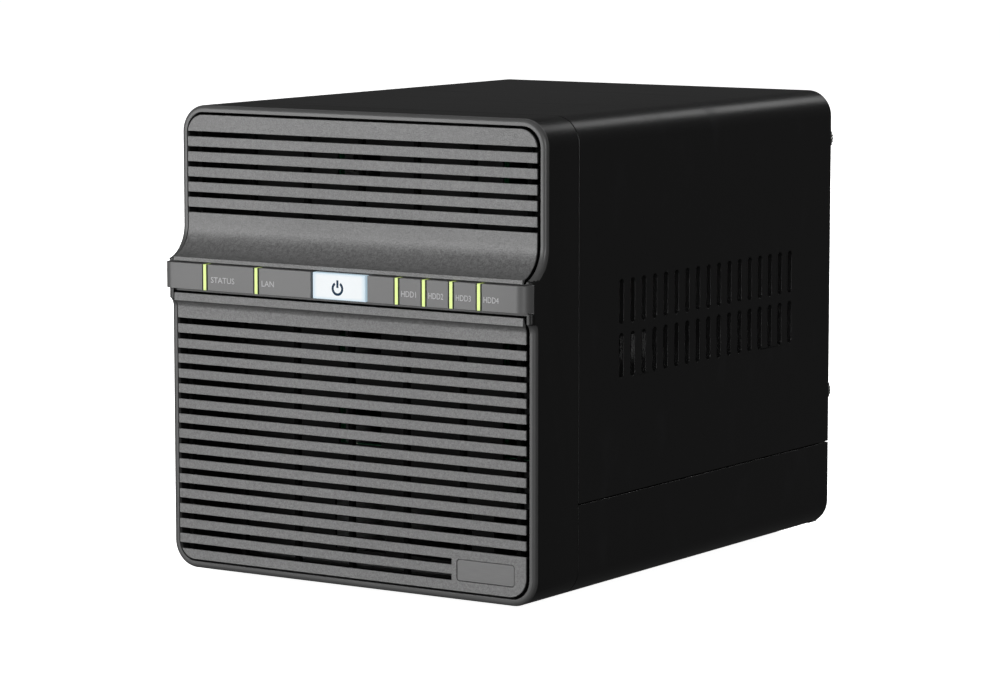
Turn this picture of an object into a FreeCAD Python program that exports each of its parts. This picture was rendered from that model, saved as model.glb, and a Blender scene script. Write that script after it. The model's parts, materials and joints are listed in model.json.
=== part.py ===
import FreeCAD, Part
import math
import os

os.makedirs("parts", exist_ok=True)

Vec = FreeCAD.Vector

# A network storage box for four 3.5-inch drives. Millimetres, front towards -Y, origin
# at the middle of the footprint.

# ---- Case ----
half_width = 84.0
front_y = -116.0
rear_y = 116.0
case_bottom = 4.0
case_top = 184.0
corner_r = 10.5
wall = 2.0
cover_front = -80.2
cover_rear = 114.0
seam_gap = 0.4
side_seam_z = 39.0
lip = 1.2

# ---- Front profile: rim planes, and the concave sweeps up to the nose ----
upper_rim_y = -102.7
upper_sweep_z = 137.7
upper_sweep_r = 12.8
upper_lip_y = -112.4
lower_lip_y = -112.1
lower_rim_y = -110.0
lower_sweep_z = 106.2
lower_sweep_r = 3.6
nose_mid_z = 119.0
rim_width = 2.65
rim_round = 1.7
plate_proud = 0.85
plate_thick = 2.2
plate_half = 80.4
plate_low = 7.6
plate_high = 180.4
plate_corner_r = 7.4
upper_plate_low = 124.4
lower_plate_high = 112.0

# ---- Cooling slots ----
slot_pitch = 5.88
upper_slot_top = 173.9
upper_slot_count = 6
upper_slot_h = 2.0
lower_slot_top = 101.95
lower_slot_count = 16
lower_slot_h = 2.27
short_slots = 2
short_slot_end = 47.3
slot_rib_x = [-76.0, -50.7, -25.3, 0.0, 25.3, 50.7, 76.0]
slot_rib_w = 2.0
slot_rib_deep = 2.4
slot_depth = 1.9

# ---- Badge ----
badge_x = [49.6, 75.3]
badge_z = [11.45, 19.7]
badge_deep = 1.2
badge_round = 1.2

# ---- Indicator strip, light pipes and power button ----
strip_z = [114.0, 124.0]
strip_face = -115.95
strip_back = -111.0
strip_end_r = 4.8
web_front = -112.3
pipe_width = 1.8
pipe_gap = 0.4
pipe_back = -108.6
stem_z = [117.0, 121.0]
status_x = -63.15
network_x = -38.65
drive_light_x = [26.3, 38.5, 50.7, 62.95]
button_x = [-12.1, 12.2]
button_gap = 0.9
button_back = -113.5
plunger_half = 4.0
plunger_back = -109.4
plunger_hole_z = [116.6, 121.4]
stem_hole_z = [116.8, 121.2]
carrier_y = [-110.9, -109.2]
carrier_z = [112.6, 124.3]
carrier_gap = 0.35

# ---- Feet ----
foot_x = 48.0
foot_y = [-66.0, 92.0]
foot_r = 7.0
foot_round = 1.2

# ---- Side vents ----
vent_y = [-50.0, 80.0]
vent_count = 17
vent_rows = [[83.5, 100.5], [104.0, 121.0]]
vent_width = 3.2

# ---- Chassis, cage and trays ----
sheet = 1.2
bulkhead_y = -80.0
bulkhead_half = 80.0
bulkhead_z = [8.0, 180.0]
bulkhead_corner_r = 7.0
air_columns = [[-26.0, -6.0], [50.0, 68.0]]
air_rise = [11.0, 25.0]
low_air_x = [[-28.0, -4.0], [6.0, 36.0], [46.0, 70.0]]
low_air_z = [12.0, 34.0]
cable_window_x = [-76.0, -64.0]
cable_window_z = [110.0, 128.0]
cage_x = [-34.0, 76.0]
cage_y = [-75.9, 100.0]
cage_low = 6.2
cage_high = 178.0
cage_floor_z = 38.6
tray_count = 4
tray_pitch = 33.5
tray_first_z = 42.5
tray_x = [-32.5, 74.5]
tray_y = [-70.0, 81.0]
tray_floor = 1.5
tray_side = 8.0
rail_width = 3.0
rail_gap = 0.3
drive_hole_x = 95.25
drive_hole_y = [-27.6, 16.85]
drive_hole_r = 1.9
tray_window_x = [-13.0, 21.0, 55.0]
tray_window_half = 10.0
tray_window_y = [[-56.0, -24.0], [-12.0, 16.0], [30.0, 66.0]]
rail_thick = 1.2
rail_end_y = 82.0
cage_window_y = [-58.0, -20.0, 18.0, 56.0]
cage_window_long = 20.0
cage_window_rise = [14.0, 26.0]
handle_thick = 1.7
handle_rise = [0.5, 24.0]
grip_half = 24.0
grip_rise = [9.0, 17.0]
grip_lip = 0.8
grip_lip_h = 2.0
handle_slot_reach = [31.0, 38.0, 45.0]
handle_slot_half = 2.0
handle_slot_rise = [5.0, 20.0]
backplane_x = [-30.0, 72.0]
backplane_y = [-77.0, -75.4]
backplane_z = [44.0, 176.0]
socket_x = [0.0, 42.0]
socket_front_y = -69.0
socket_rise = 2.0
socket_high = 6.0
socket_slots_x = [[3.0, 25.0], [27.0, 37.5]]

# ---- Back door, hinge, fans ----
door_x = [-40.0, 81.0]
door_y = [109.0, 111.5]
door_z = [12.9, 181.0]
door_corner_r = 7.5
door_low_r = 3.0
flange_front_y = 105.0
flange_z = [20.0, 170.0]
hinge_y = 110.5
hinge_z = 9.5
pin_r = 1.5
pin_clear = 0.06
knuckle_r = 3.0
lug_spans = [[-38.5, -34.5], [18.5, 23.5], [75.0, 79.0]]
knuckle_spans = [[-34.0, -12.0], [54.0, 74.5]]
fan_x = 21.0
fan_z = [53.0, 136.0]
fan_size = 80.0
fan_y = [84.0, 109.0]
fan_bore_r = 38.0
fan_hole_pitch = 71.5
fan_hole_r = 2.2
hub_r = 17.0
blade_r = 36.6
blade_count = 7
blade_pitch = 38.0
blade_half_chord = 11.5
blade_half_thick = 0.8
strut_turns = [20, 110, 200, 290]
shaft_r = 1.5
shaft_clear = 0.06
grille_rings = [[7.0, 10.6], [12.8, 16.4], [18.6, 22.2], [24.4, 28.0], [30.2, 33.8]]
grille_spoke = 3.2
thumb_x = [-33.0, 75.0]
thumb_z = [59.4, 164.0]
thumb_head_r = 6.2
thumb_teeth = 28
thumb_shank_r = 1.75
thumb_tip_y = 101.5
tab_y = [103.0, 104.6]
tab_half = 4.4
tab_half_z = 6.0

# ---- Boards and sockets ----
panel_x = [-81.0, -41.0]
panel_y = [109.0, 110.8]
panel_z = [7.0, 181.0]
board_x = [-76.0, -74.4]
board_y = [-30.0, 105.0]
board_z = [12.0, 150.0]
jack_z = 50.0
usb_z = [76.0, 94.0]
inlet_z = 23.0
reset_z = 112.0
reset_x = -70.0
reset_r = 1.2
panel_clear = 0.3
board_clear = 0.2
jack_wide = 13.3
jack_half = 8.0
usb_wide = 7.0
usb_half = 7.2
inlet_off = 7.2
screw_inset = [6.0, 20.0]
air_hole_r = 1.8
air_hole_pitch = [5.6, 5.4]
air_hole_start = [-75.0, 134.0]
sink_y = [18.0, 62.0]
sink_z = [64.0, 108.0]
sink_fins = 9
sink_fin_pitch = 5.2
sink_fin_wide = 1.6
sink_fin_high = 12.0
light_board_half = 72.0
light_board_y = [-107.0, -105.4]
light_board_z = [112.8, 125.2]
lamp_front_y = -108.3
cable_x = [-70.6, -70.0]
cable_z = [114.0, 124.0]
cable_rear_y = -11.0


def block(x, y, z):
    """A box between the pairs of limits x, y and z."""
    size = [x[1] - x[0], y[1] - y[0], z[1] - z[0]]
    return Part.makeBox(size[0], size[1], size[2], Vec(x[0], y[0], z[0]))


def rod(centre, r, length, direction):
    """A cylinder from centre along direction."""
    return Part.makeCylinder(r, length, centre, direction)


def rod_y(x, z, r, y0, y1):
    return rod(Vec(x, y0, z), r, y1 - y0, Vec(0, 1, 0))


def rod_x(y, z, r, x0, x1):
    return rod(Vec(x0, y, z), r, x1 - x0, Vec(1, 0, 0))


def edges_along(shape, axis):
    """The straight edges of a shape that run along one axis (0, 1 or 2)."""
    found = []
    for edge in shape.Edges:
        if len(edge.Vertexes) != 2:
            continue
        run = edge.Vertexes[1].Point - edge.Vertexes[0].Point
        others = [abs(run[i]) for i in range(3) if i != axis]
        if max(others) < 1e-6 and abs(run[axis]) > 1e-6:
            found.append(edge)
    return found


def rounded(x, y, z, r, axis=1):
    """A box with its four edges along one axis rounded."""
    solid = block(x, y, z)
    return solid.makeFillet(r, edges_along(solid, axis))


def fuse(shapes):
    """One solid out of overlapping shapes."""
    joined = shapes[0].multiFuse(shapes[1:]) if len(shapes) > 1 else shapes[0]
    return joined.removeSplitter()


def group(shapes):
    """Separate solids kept together in one node."""
    return Part.makeCompound(shapes)


def save(name, shape):
    """Write one node, and say what it holds."""
    solids = shape.Solids
    kept = solids[0] if len(solids) == 1 else Part.makeCompound(solids)
    kept.exportStep("parts/" + name + ".step")
    print(name, "solids", len(solids), "volume", round(sum(s.Volume for s in solids)), kept.isValid())


def case_section(inset, y):
    """The case's rounded cross-section, inset from the outer skin, between two y limits."""
    x = [-half_width + inset, half_width - inset]
    z = [case_bottom + inset, case_top - inset]
    return rounded(x, y, z, corner_r - inset)


def behind_front(proud):
    """Everything behind the front profile, moved forward by proud."""
    back = -70.0
    high = case_top + 5.0
    low = case_bottom - 5.0
    centre_y = upper_rim_y - upper_sweep_r
    r = upper_sweep_r - proud
    lip_y = upper_lip_y - proud
    lip_z = upper_sweep_z - math.sqrt(r * r - (lip_y - centre_y) ** 2)
    low_centre_y = lower_rim_y - lower_sweep_r
    low_r = lower_sweep_r - proud
    low_lip = lower_lip_y - proud
    low_lip_z = lower_sweep_z + math.sqrt(low_r * low_r - (low_lip - low_centre_y) ** 2)

    def point(y, z):
        return Vec(-100.0, y, z)

    def on_arc(cy, cz, radius, start, end):
        """The middle point of an arc between two of its points."""
        middle = (start + end) * 0.5
        away = middle - Vec(-100.0, cy, cz)
        away.normalize()
        return Vec(-100.0, cy, cz) + away * radius

    top = point(upper_rim_y - proud, high)
    sweep_start = point(upper_rim_y - proud, upper_sweep_z)
    sweep_end = point(lip_y, lip_z)
    sweep_mid = on_arc(centre_y, upper_sweep_z, r, sweep_start, sweep_end)
    low_start = point(low_lip, low_lip_z)
    low_end = point(lower_rim_y - proud, lower_sweep_z)
    low_mid = on_arc(low_centre_y, lower_sweep_z, low_r, low_start, low_end)
    nose_a = point(lip_y, nose_mid_z)
    nose_b = point(low_lip, nose_mid_z)
    bottom = point(lower_rim_y - proud, low)
    edges = [
        Part.makeLine(point(back, high), top),
        Part.makeLine(top, sweep_start),
        Part.Arc(sweep_start, sweep_mid, sweep_end).toShape(),
        Part.makeLine(sweep_end, nose_a),
        Part.makeLine(nose_a, nose_b),
        Part.makeLine(nose_b, low_start),
        Part.Arc(low_start, low_mid, low_end).toShape(),
        Part.makeLine(low_end, bottom),
        Part.makeLine(bottom, point(back, low)),
        Part.makeLine(point(back, low), point(back, high)),
    ]
    return Part.Face(Part.Wire(edges)).extrude(Vec(200.0, 0, 0))


def light_places():
    return [status_x, network_x] + drive_light_x


def front_bezel():
    outer = case_section(0.0, [front_y - 1, cover_front - seam_gap])
    solid = outer.common(behind_front(0.0))
    rim_edges = []
    for edge in solid.Edges:
        points = edge.discretize(5)
        on_front = all(p.y < upper_rim_y + 0.01 for p in points)
        on_skin = all(case_distance(p.x, p.z) < 0.01 for p in points)
        if on_front and on_skin:
            rim_edges.append(edge)
    solid = solid.makeFillet(rim_round, rim_edges)
    spigot_y = [cover_front - seam_gap - 1, cover_front + 4]
    spigot = case_section(wall + 0.15, spigot_y).cut(case_section(wall + 0.15 + lip, [-90, -70]))
    solid = solid.cut(case_section(rim_width, [front_y - 2, cover_front]))
    carrier = block([-81.8, 81.8], carrier_y, carrier_z)
    nose = block([-90, 90], [front_y - 2, strip_back], [strip_z[0] - 0.5, strip_z[1] + 0.4])
    solid = fuse([solid, spigot, carrier]).cut(nose)
    for x in light_places():
        half = pipe_width / 2 + carrier_gap
        hole_z = [stem_z[0] - carrier_gap, stem_z[1] + carrier_gap]
        solid = solid.cut(block([x - half, x + half], [-112, -108], hole_z))
    half = plunger_half + carrier_gap
    hole_z = [stem_z[0] - carrier_gap, stem_z[1] + carrier_gap]
    return solid.cut(block([-half, half], [-112, -108], hole_z))


def case_distance(x, z):
    """How far a point lies from the case's outer skin."""
    mid_z = (case_top + case_bottom) / 2
    dx = abs(x) - (half_width - corner_r)
    dz = abs(z - mid_z) - ((case_top - case_bottom) / 2 - corner_r)
    if dx > 0 and dz > 0:
        return abs(math.hypot(dx, dz) - corner_r)
    return abs(max(dx, dz) - corner_r)


def faceplate(z, slots, badge):
    """A curved plate between two heights, with its slots and the ribs that join its bars."""
    outline = rounded([-plate_half, plate_half], [-120, -70], [plate_low, plate_high], plate_corner_r)
    cut_z = block([-90, 90], [-120, -70], z)
    outer = behind_front(plate_proud)
    skin = outer.cut(behind_front(plate_proud - plate_thick)).common(outline).common(cut_z)
    cutters = []
    for low, high, end in slots:
        cutters.append(block([-90, end], [-120, -90], [low, high]))
    if cutters:
        skin = skin.cut(Part.makeCompound(cutters))
    if badge:
        recess_y = [-120, lower_rim_y - plate_proud + badge_deep]
        skin = skin.cut(rounded(badge_x, recess_y, badge_z, badge_round))
    rib_zone = behind_front(plate_proud - slot_depth)
    rib_zone = rib_zone.cut(behind_front(plate_proud - slot_depth - slot_rib_deep))
    rib_low = z[0] if badge is False else z[0] + 1.0
    ribs = []
    slot_low = min(s[0] for s in slots) - 1.5
    slot_high = max(s[1] for s in slots) + 1.5
    for x in slot_rib_x:
        bar = block([x - slot_rib_w / 2, x + slot_rib_w / 2], [-120, -90], [max(rib_low, slot_low), slot_high])
        ribs.append(bar.common(rib_zone))
    return fuse([skin] + ribs)


def slot_rows(top, count, height, short):
    rows = []
    for index in range(count):
        high = top - slot_pitch * index
        end = short_slot_end if index >= count - short else 90.0
        rows.append([high - height, high, end])
    return rows


def badge_plate():
    inset = 0.15
    x = [badge_x[0] + inset, badge_x[1] - inset]
    z = [badge_z[0] + inset, badge_z[1] - inset]
    y = [lower_rim_y - plate_proud + 0.2, lower_rim_y - plate_proud + badge_deep]
    return rounded(x, y, z, badge_round - inset)


def indicator_strip():
    solid = block([-half_width, half_width], [strip_face, strip_back], strip_z)
    ends = [e for e in edges_along(solid, 2) if e.Vertexes[0].Y < strip_face + 0.1]
    solid = solid.makeFillet(strip_end_r, ends)
    high = [strip_z[0] - 1, strip_z[1] + 1]
    cutters = []
    for x in light_places():
        half = pipe_width / 2 + pipe_gap
        cutters.append(block([x - half, x + half], [front_y - 1, web_front], high))
        cutters.append(block([x - half, x + half], [web_front - 1, strip_back + 1], stem_hole_z))
    button = [button_x[0] - button_gap, button_x[1] + button_gap]
    cutters.append(block(button, [front_y - 1, web_front], high))
    half = plunger_half + carrier_gap
    cutters.append(block([-half, half], [web_front - 1, strip_back + 1], plunger_hole_z))
    return solid.cut(Part.makeCompound(cutters))


def light_pipe(x):
    half = pipe_width / 2
    face = block([x - half, x + half], [front_y, web_front - 0.1], strip_z)
    stem = block([x - half, x + half], [web_front - 1, pipe_back], stem_z)
    return fuse([face, stem])


def power_button():
    cap = block(button_x, [strip_face, button_back], strip_z)
    cap = cap.makeFillet(0.3, edges_along(cap, 2))
    plunger = block([-plunger_half, plunger_half], [button_back - 1, plunger_back], stem_z)
    return fuse([cap, plunger])


def case_shell(z):
    skin = case_section(0.0, [cover_front, cover_rear])
    skin = skin.cut(case_section(wall, [cover_front - 1, cover_rear + 1]))
    return skin.common(block([-90, 90], [-90, 120], z))


def capsule_x(y, z, width):
    """A cutter along X, a vertical slot with round ends."""
    r = width / 2
    ends = [rod_x(y, z[0] + r, r, -90, 90), rod_x(y, z[1] - r, r, -90, 90)]
    return fuse([block([-90, 90], [y - r, y + r], [z[0] + r, z[1] - r])] + ends)


def upper_cover():
    solid = case_shell([side_seam_z + seam_gap / 2, case_top + 1])
    step = (vent_y[1] - vent_y[0]) / (vent_count - 1)
    slots = []
    for index in range(vent_count):
        for row in vent_rows:
            slots.append(capsule_x(vent_y[0] + step * index, row, vent_width))
    return solid.cut(Part.makeCompound(slots))


def base_shell():
    solid = case_shell([case_bottom - 1, side_seam_z - seam_gap / 2])
    pieces = [solid]
    inner = half_width - wall
    for side in (-1, 1):
        low = sorted([side * (inner - lip), side * (inner + 0.1)])
        high = sorted([side * (inner - lip), side * (inner - 0.15)])
        run = [cover_front + 5, 100.0]
        pieces.append(block(low, run, [side_seam_z - 4, side_seam_z - seam_gap]))
        pieces.append(block(high, run, [side_seam_z - 4, side_seam_z + 4]))
    for span in lug_spans:
        pieces.append(rod_x(hinge_y, hinge_z, knuckle_r, span[0], span[1]))
        pieces.append(block(span, [hinge_y - knuckle_r, hinge_y + knuckle_r], [case_bottom + 1, hinge_z]))
    bore = rod_x(hinge_y, hinge_z, pin_r, lug_spans[0][0] - 1, lug_spans[-1][1] + 1)
    return fuse(pieces).cut(bore)


def feet():
    pads = []
    for x in (-foot_x, foot_x):
        for y in foot_y:
            pad = rod(Vec(x, y, 0), foot_r, case_bottom, Vec(0, 0, 1))
            low = [e for e in pad.Edges if abs(e.BoundBox.ZMax) < 1e-6]
            pads.append(pad.makeFillet(foot_round, low))
    return group(pads)


def tray_bottom(index):
    return tray_first_z + tray_pitch * index


def air_windows():
    """The x and z limits of the air windows in front of each tray."""
    windows = []
    for index in range(tray_count):
        low = tray_bottom(index)
        for x in air_columns:
            windows.append([x, [low + air_rise[0], low + air_rise[1]]])
    return windows


def front_bulkhead():
    x = [-bulkhead_half, bulkhead_half]
    plate = rounded(x, [bulkhead_y, bulkhead_y + sheet], bulkhead_z, bulkhead_corner_r)
    windows = air_windows()
    windows += [[x, low_air_z] for x in low_air_x]
    windows.append([cable_window_x, cable_window_z])
    through = [bulkhead_y - 5, bulkhead_y + 5]
    return plate.cut(Part.makeCompound([block(x, through, z) for x, z in windows]))


def cage_wall(side):
    """One side sheet of the cage, with two rails for each tray and tabs for the door's screws."""
    inner = cage_x[0] if side < 0 else cage_x[1]
    x = sorted([inner, inner + side * sheet])
    solid = block(x, cage_y, [cage_low, cage_high])
    windows = []
    pieces = []
    for index in range(tray_count):
        low = tray_bottom(index)
        rail_x = sorted([inner - side * rail_width, inner + side * sheet / 2])
        rail_z = [low - rail_gap - rail_thick, low - rail_gap]
        pieces.append(block(rail_x, [cage_y[0] + 4, rail_end_y], rail_z))
        window_z = [low + cage_window_rise[0], low + cage_window_rise[1]]
        for start in cage_window_y:
            windows.append(block([-50, 90], [start, start + cage_window_long], window_z))
    solid = solid.cut(Part.makeCompound(windows))
    screw_x = thumb_x[0] if side < 0 else thumb_x[1]
    for z in thumb_z:
        tab_x = sorted([screw_x - side * tab_half, inner + side * sheet])
        arm_x = sorted([inner, inner + side * sheet])
        tab_z = [z - tab_half_z, z + tab_half_z]
        pieces.append(block(tab_x, tab_y, tab_z))
        pieces.append(block(arm_x, [cage_y[1] - 1, tab_y[1]], tab_z))
    solid = fuse([solid] + pieces)
    for z in thumb_z:
        solid = solid.cut(rod_y(screw_x, z, thumb_shank_r + 0.65, thumb_tip_y - 1, tab_y[1] + 1))
    return solid.common(case_section(wall + 0.1, [cover_front, cover_rear]))


def cage_sheet(z):
    return block([cage_x[0] + 0.05, cage_x[1] - 0.05], [cage_y[0], 80.0], z)


def tray_holes(index):
    low = tray_bottom(index)
    holes = []
    for x in (fan_x - drive_hole_x / 2, fan_x + drive_hole_x / 2):
        for y in drive_hole_y:
            holes.append(rod(Vec(x, y, low - 1), drive_hole_r, tray_floor + 2, Vec(0, 0, 1)))
    return holes


def drive_tray(index):
    low = tray_bottom(index)
    solid = block(tray_x, tray_y, [low, low + tray_floor])
    sides = []
    for x in ([tray_x[0], tray_x[0] + tray_floor], [tray_x[1] - tray_floor, tray_x[1]]):
        sides.append(block(x, tray_y, [low, low + tray_side]))
    sides.append(block(tray_x, [tray_y[1] - tray_floor, tray_y[1]], [low, low + tray_side]))
    windows = []
    for centre in tray_window_x:
        across = [centre - tray_window_half, centre + tray_window_half]
        for run in tray_window_y:
            windows.append(block(across, run, [low - 1, low + tray_floor + 1]))
    return fuse([solid] + sides).cut(Part.makeCompound(windows + tray_holes(index)))


def tray_handle(index):
    """The pull on a tray's end: a plate with a finger slot and a lip to grip."""
    low = tray_bottom(index)
    y = [tray_y[1] + 0.05, tray_y[1] + 0.05 + handle_thick]
    through = [y[0] - 1, y[1] + 1]
    plate_z = [low + handle_rise[0], low + handle_rise[1]]
    plate = rounded([tray_x[0] + 2, tray_x[1] - 2], y, plate_z, 2.0)
    grip_x = [fan_x - grip_half, fan_x + grip_half]
    slot = rounded(grip_x, through, [low + grip_rise[0], low + grip_rise[1]], 3.0)
    windows = [slot]
    slot_z = [low + handle_slot_rise[0], low + handle_slot_rise[1]]
    for reach in handle_slot_reach:
        for centre in (fan_x - reach, fan_x + reach):
            across = [centre - handle_slot_half, centre + handle_slot_half]
            windows.append(block(across, through, slot_z))
    lip_z = [low + grip_rise[1], low + grip_rise[1] + grip_lip_h]
    bar = block(grip_x, [y[0], y[1] + grip_lip], lip_z)
    return fuse([plate.cut(Part.makeCompound(windows)), bar])


def drive_backplane():
    board = block(backplane_x, backplane_y, backplane_z)
    through = [backplane_y[0] - 3, backplane_y[1] + 3]
    return board.cut(Part.makeCompound([block(x, through, z) for x, z in air_windows()]))


def drive_sockets():
    sockets = []
    for index in range(tray_count):
        low = tray_bottom(index) + tray_floor + socket_rise
        body = block(socket_x, [backplane_y[1], socket_front_y], [low, low + socket_high])
        slots = []
        for x in socket_slots_x:
            slots.append(block(x, [backplane_y[1] + 1.4, socket_front_y + 1], [low + 2, low + 4.4]))
        sockets.append(body.cut(Part.makeCompound(slots)))
    return group(sockets)


def ring_slots(z):
    """The cutter for one fan grille: rings crossed by spokes."""
    rings = []
    for inner, outer in grille_rings:
        ring = rod_y(fan_x, z, outer, 100, 120).cut(rod_y(fan_x, z, inner, 99, 121))
        rings.append(ring)
    spokes = []
    for turn in (45, 135):
        bar = block([fan_x - 40, fan_x + 40], [98, 122], [z - grille_spoke / 2, z + grille_spoke / 2])
        bar.rotate(Vec(fan_x, 110, z), Vec(0, 1, 0), turn)
        spokes.append(bar)
    return Part.makeCompound(rings).cut(Part.makeCompound(spokes))


def back_door():
    panel = block(door_x, door_y, door_z)
    top_edges = [e for e in edges_along(panel, 1) if e.Vertexes[0].Z > door_z[1] - 0.1]
    right = [e for e in top_edges if e.Vertexes[0].X > door_x[1] - 0.1]
    panel = panel.makeFillet(door_corner_r, right)
    low_edges = [e for e in edges_along(panel, 1) if e.Vertexes[0].Z < door_z[0] + 0.1]
    low_right = [e for e in low_edges if e.Vertexes[0].X > door_x[1] - 0.1]
    panel = panel.makeFillet(door_low_r, low_right)
    for z in fan_z:
        panel = panel.cut(ring_slots(z))
    pieces = [panel]
    for x in ([door_x[0], door_x[0] + sheet], [door_x[1] - sheet, door_x[1]]):
        pieces.append(block(x, [flange_front_y, door_y[0] + 0.5], flange_z))
    for span in knuckle_spans:
        pieces.append(rod_x(hinge_y, hinge_z, knuckle_r, span[0], span[1]))
        pieces.append(block(span, door_y, [hinge_z, door_z[0] + 1]))
    solid = fuse(pieces)
    bore = rod_x(hinge_y, hinge_z, pin_r + pin_clear, door_x[0] - 1, door_x[1] + 1)
    holes = [bore]
    for x in thumb_x:
        for z in thumb_z:
            holes.append(rod_y(x, z, thumb_shank_r + 0.05, 108, 113))
    for x, z in fan_corners():
        holes.append(rod_y(x, z, fan_hole_r - 0.4, 108, 113))
    return solid.cut(Part.makeCompound(holes))


def hinge_pin():
    return rod_x(hinge_y, hinge_z, pin_r, lug_spans[0][0], lug_spans[-1][1])


def fan_corners():
    half = fan_hole_pitch / 2
    return [(fan_x + sx * half, z + sz * half) for z in fan_z for sx in (-1, 1) for sz in (-1, 1)]


def fan_frame(z):
    """A square frame with a round duct, four struts and the motor post."""
    half = fan_size / 2
    frame = rounded([fan_x - half, fan_x + half], fan_y, [z - half, z + half], 4.0)
    waist = frame.cut(rounded([fan_x - half - 1, fan_x + half + 1], [fan_y[0] + 4, fan_y[1] - 4],
                              [z - half - 1, z + half + 1], 4.0))
    barrel = rod_y(fan_x, z, half - 0.3, fan_y[0], fan_y[1])
    posts = []
    for sx in (-1, 1):
        for sz in (-1, 1):
            centre = [fan_x + sx * fan_hole_pitch / 2, z + sz * fan_hole_pitch / 2]
            posts.append(rod_y(centre[0], centre[1], 3.6, fan_y[0], fan_y[1]))
    duct = rod_y(fan_x, z, fan_bore_r, fan_y[0] - 1, fan_y[1] + 1)
    solid = fuse([waist, barrel] + posts).cut(duct)
    struts = []
    for turn in strut_turns:
        strut = block([fan_x, fan_x + fan_bore_r + 0.6], [fan_y[1] - 3.0, fan_y[1]], [z - 1.5, z + 1.5])
        strut.rotate(Vec(fan_x, 0, z), Vec(0, 1, 0), turn)
        struts.append(strut)
    hub = rod_y(fan_x, z, hub_r, fan_y[1] - 3.5, fan_y[1])
    post = rod_y(fan_x, z, hub_r - 5.5, fan_y[0] + 6.0, fan_y[1] - 3.0)
    solid = fuse([solid, hub, post] + struts)
    holes = [rod_y(fan_x, z, shaft_r + shaft_clear, fan_y[0], fan_y[1] - 1.5)]
    for sx in (-1, 1):
        for sz in (-1, 1):
            centre = [fan_x + sx * fan_hole_pitch / 2, z + sz * fan_hole_pitch / 2]
            holes.append(rod_y(centre[0], centre[1], fan_hole_r - 0.4, fan_y[0] - 1, fan_y[1] + 1))
    return solid.cut(Part.makeCompound(holes))


def fan_rotor(z):
    """The hub cup, its shaft and the pitched blades."""
    cup = rod_y(fan_x, z, hub_r, fan_y[0] + 2.0, fan_y[1] - 4.5)
    cup = cup.cut(rod_y(fan_x, z, hub_r - 2.5, fan_y[0] + 4.5, fan_y[1]))
    shaft = rod_y(fan_x, z, shaft_r, fan_y[0] + 3.0, fan_y[1] - 2.5)
    limit = rod_y(fan_x, z, blade_r, fan_y[0] + 3.0, fan_y[1] - 4.5)
    limit = limit.cut(rod_y(fan_x, z, hub_r - 1.0, fan_y[0], fan_y[1]))
    mid_y = (fan_y[0] + fan_y[1]) / 2 - 1.0
    blades = []
    for index in range(blade_count):
        chord = [mid_y - blade_half_chord, mid_y + blade_half_chord]
        across = [z - blade_half_thick, z + blade_half_thick]
        blade = block([fan_x + hub_r - 2, fan_x + blade_r + 3], chord, across)
        blade.rotate(Vec(fan_x, mid_y, z), Vec(1, 0, 0), blade_pitch)
        blade.rotate(Vec(fan_x, 0, z), Vec(0, 1, 0), 360.0 / blade_count * index)
        blades.append(blade.common(limit))
    return fuse([cup, shaft] + blades)


def screw_y(x, z, seat_y, head_r, head_h, shank_r, length):
    """A pan-head screw driven in from the back, with a cross recess."""
    head = rod_y(x, z, head_r, seat_y, seat_y + head_h)
    rim = [e for e in head.Edges if abs(e.BoundBox.YMin - seat_y - head_h) < 1e-6]
    head = head.makeFillet(min(head_h, head_r) * 0.4, rim)
    shank = rod_y(x, z, shank_r, seat_y - length, seat_y + 0.2)
    solid = fuse([head, shank])
    arm = head_r * 0.55
    top = seat_y + head_h
    cross = [block([x - arm, x + arm], [top - head_h * 0.5, top + 1], [z - 0.4, z + 0.4])]
    cross.append(block([x - 0.4, x + 0.4], [top - head_h * 0.5, top + 1], [z - arm, z + arm]))
    return solid.cut(Part.makeCompound(cross))


def thumbscrew(x, z):
    """A knurled head with a cross slot, and its shank."""
    points = []
    for index in range(thumb_teeth * 2):
        r = thumb_head_r if index % 2 == 0 else thumb_head_r - 0.45
        angle = math.pi * index / thumb_teeth
        points.append(Vec(x + r * math.cos(angle), door_y[1] + 1.0, z + r * math.sin(angle)))
    head = Part.Face(Part.makePolygon(points + [points[0]])).extrude(Vec(0, rear_y - door_y[1] - 1.0, 0))
    collar = rod_y(x, z, thumb_head_r - 1.4, door_y[1] + 0.05, door_y[1] + 1.5)
    shank = rod_y(x, z, thumb_shank_r, thumb_tip_y, door_y[1] + 1.0)
    cross = [block([x - 3.2, x + 3.2], [rear_y - 1.4, rear_y + 1], [z - 0.6, z + 0.6])]
    cross.append(block([x - 0.6, x + 0.6], [rear_y - 1.4, rear_y + 1], [z - 3.2, z + 3.2]))
    return fuse([head, collar, shank]).cut(Part.makeCompound(cross))


def panel_openings():
    """What the connector panel is cut for: name, x limits and z limits."""
    gap = panel_clear
    top = board_x[1]
    low = top + board_clear - gap
    cuts = [[[low, low + jack_wide + 2 * gap], [jack_z - jack_half - gap, jack_z + jack_half + gap]]]
    for z in usb_z:
        cuts.append([[low, low + usb_wide + 2 * gap], [z - usb_half - gap, z + usb_half + gap]])
    return cuts


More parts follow.
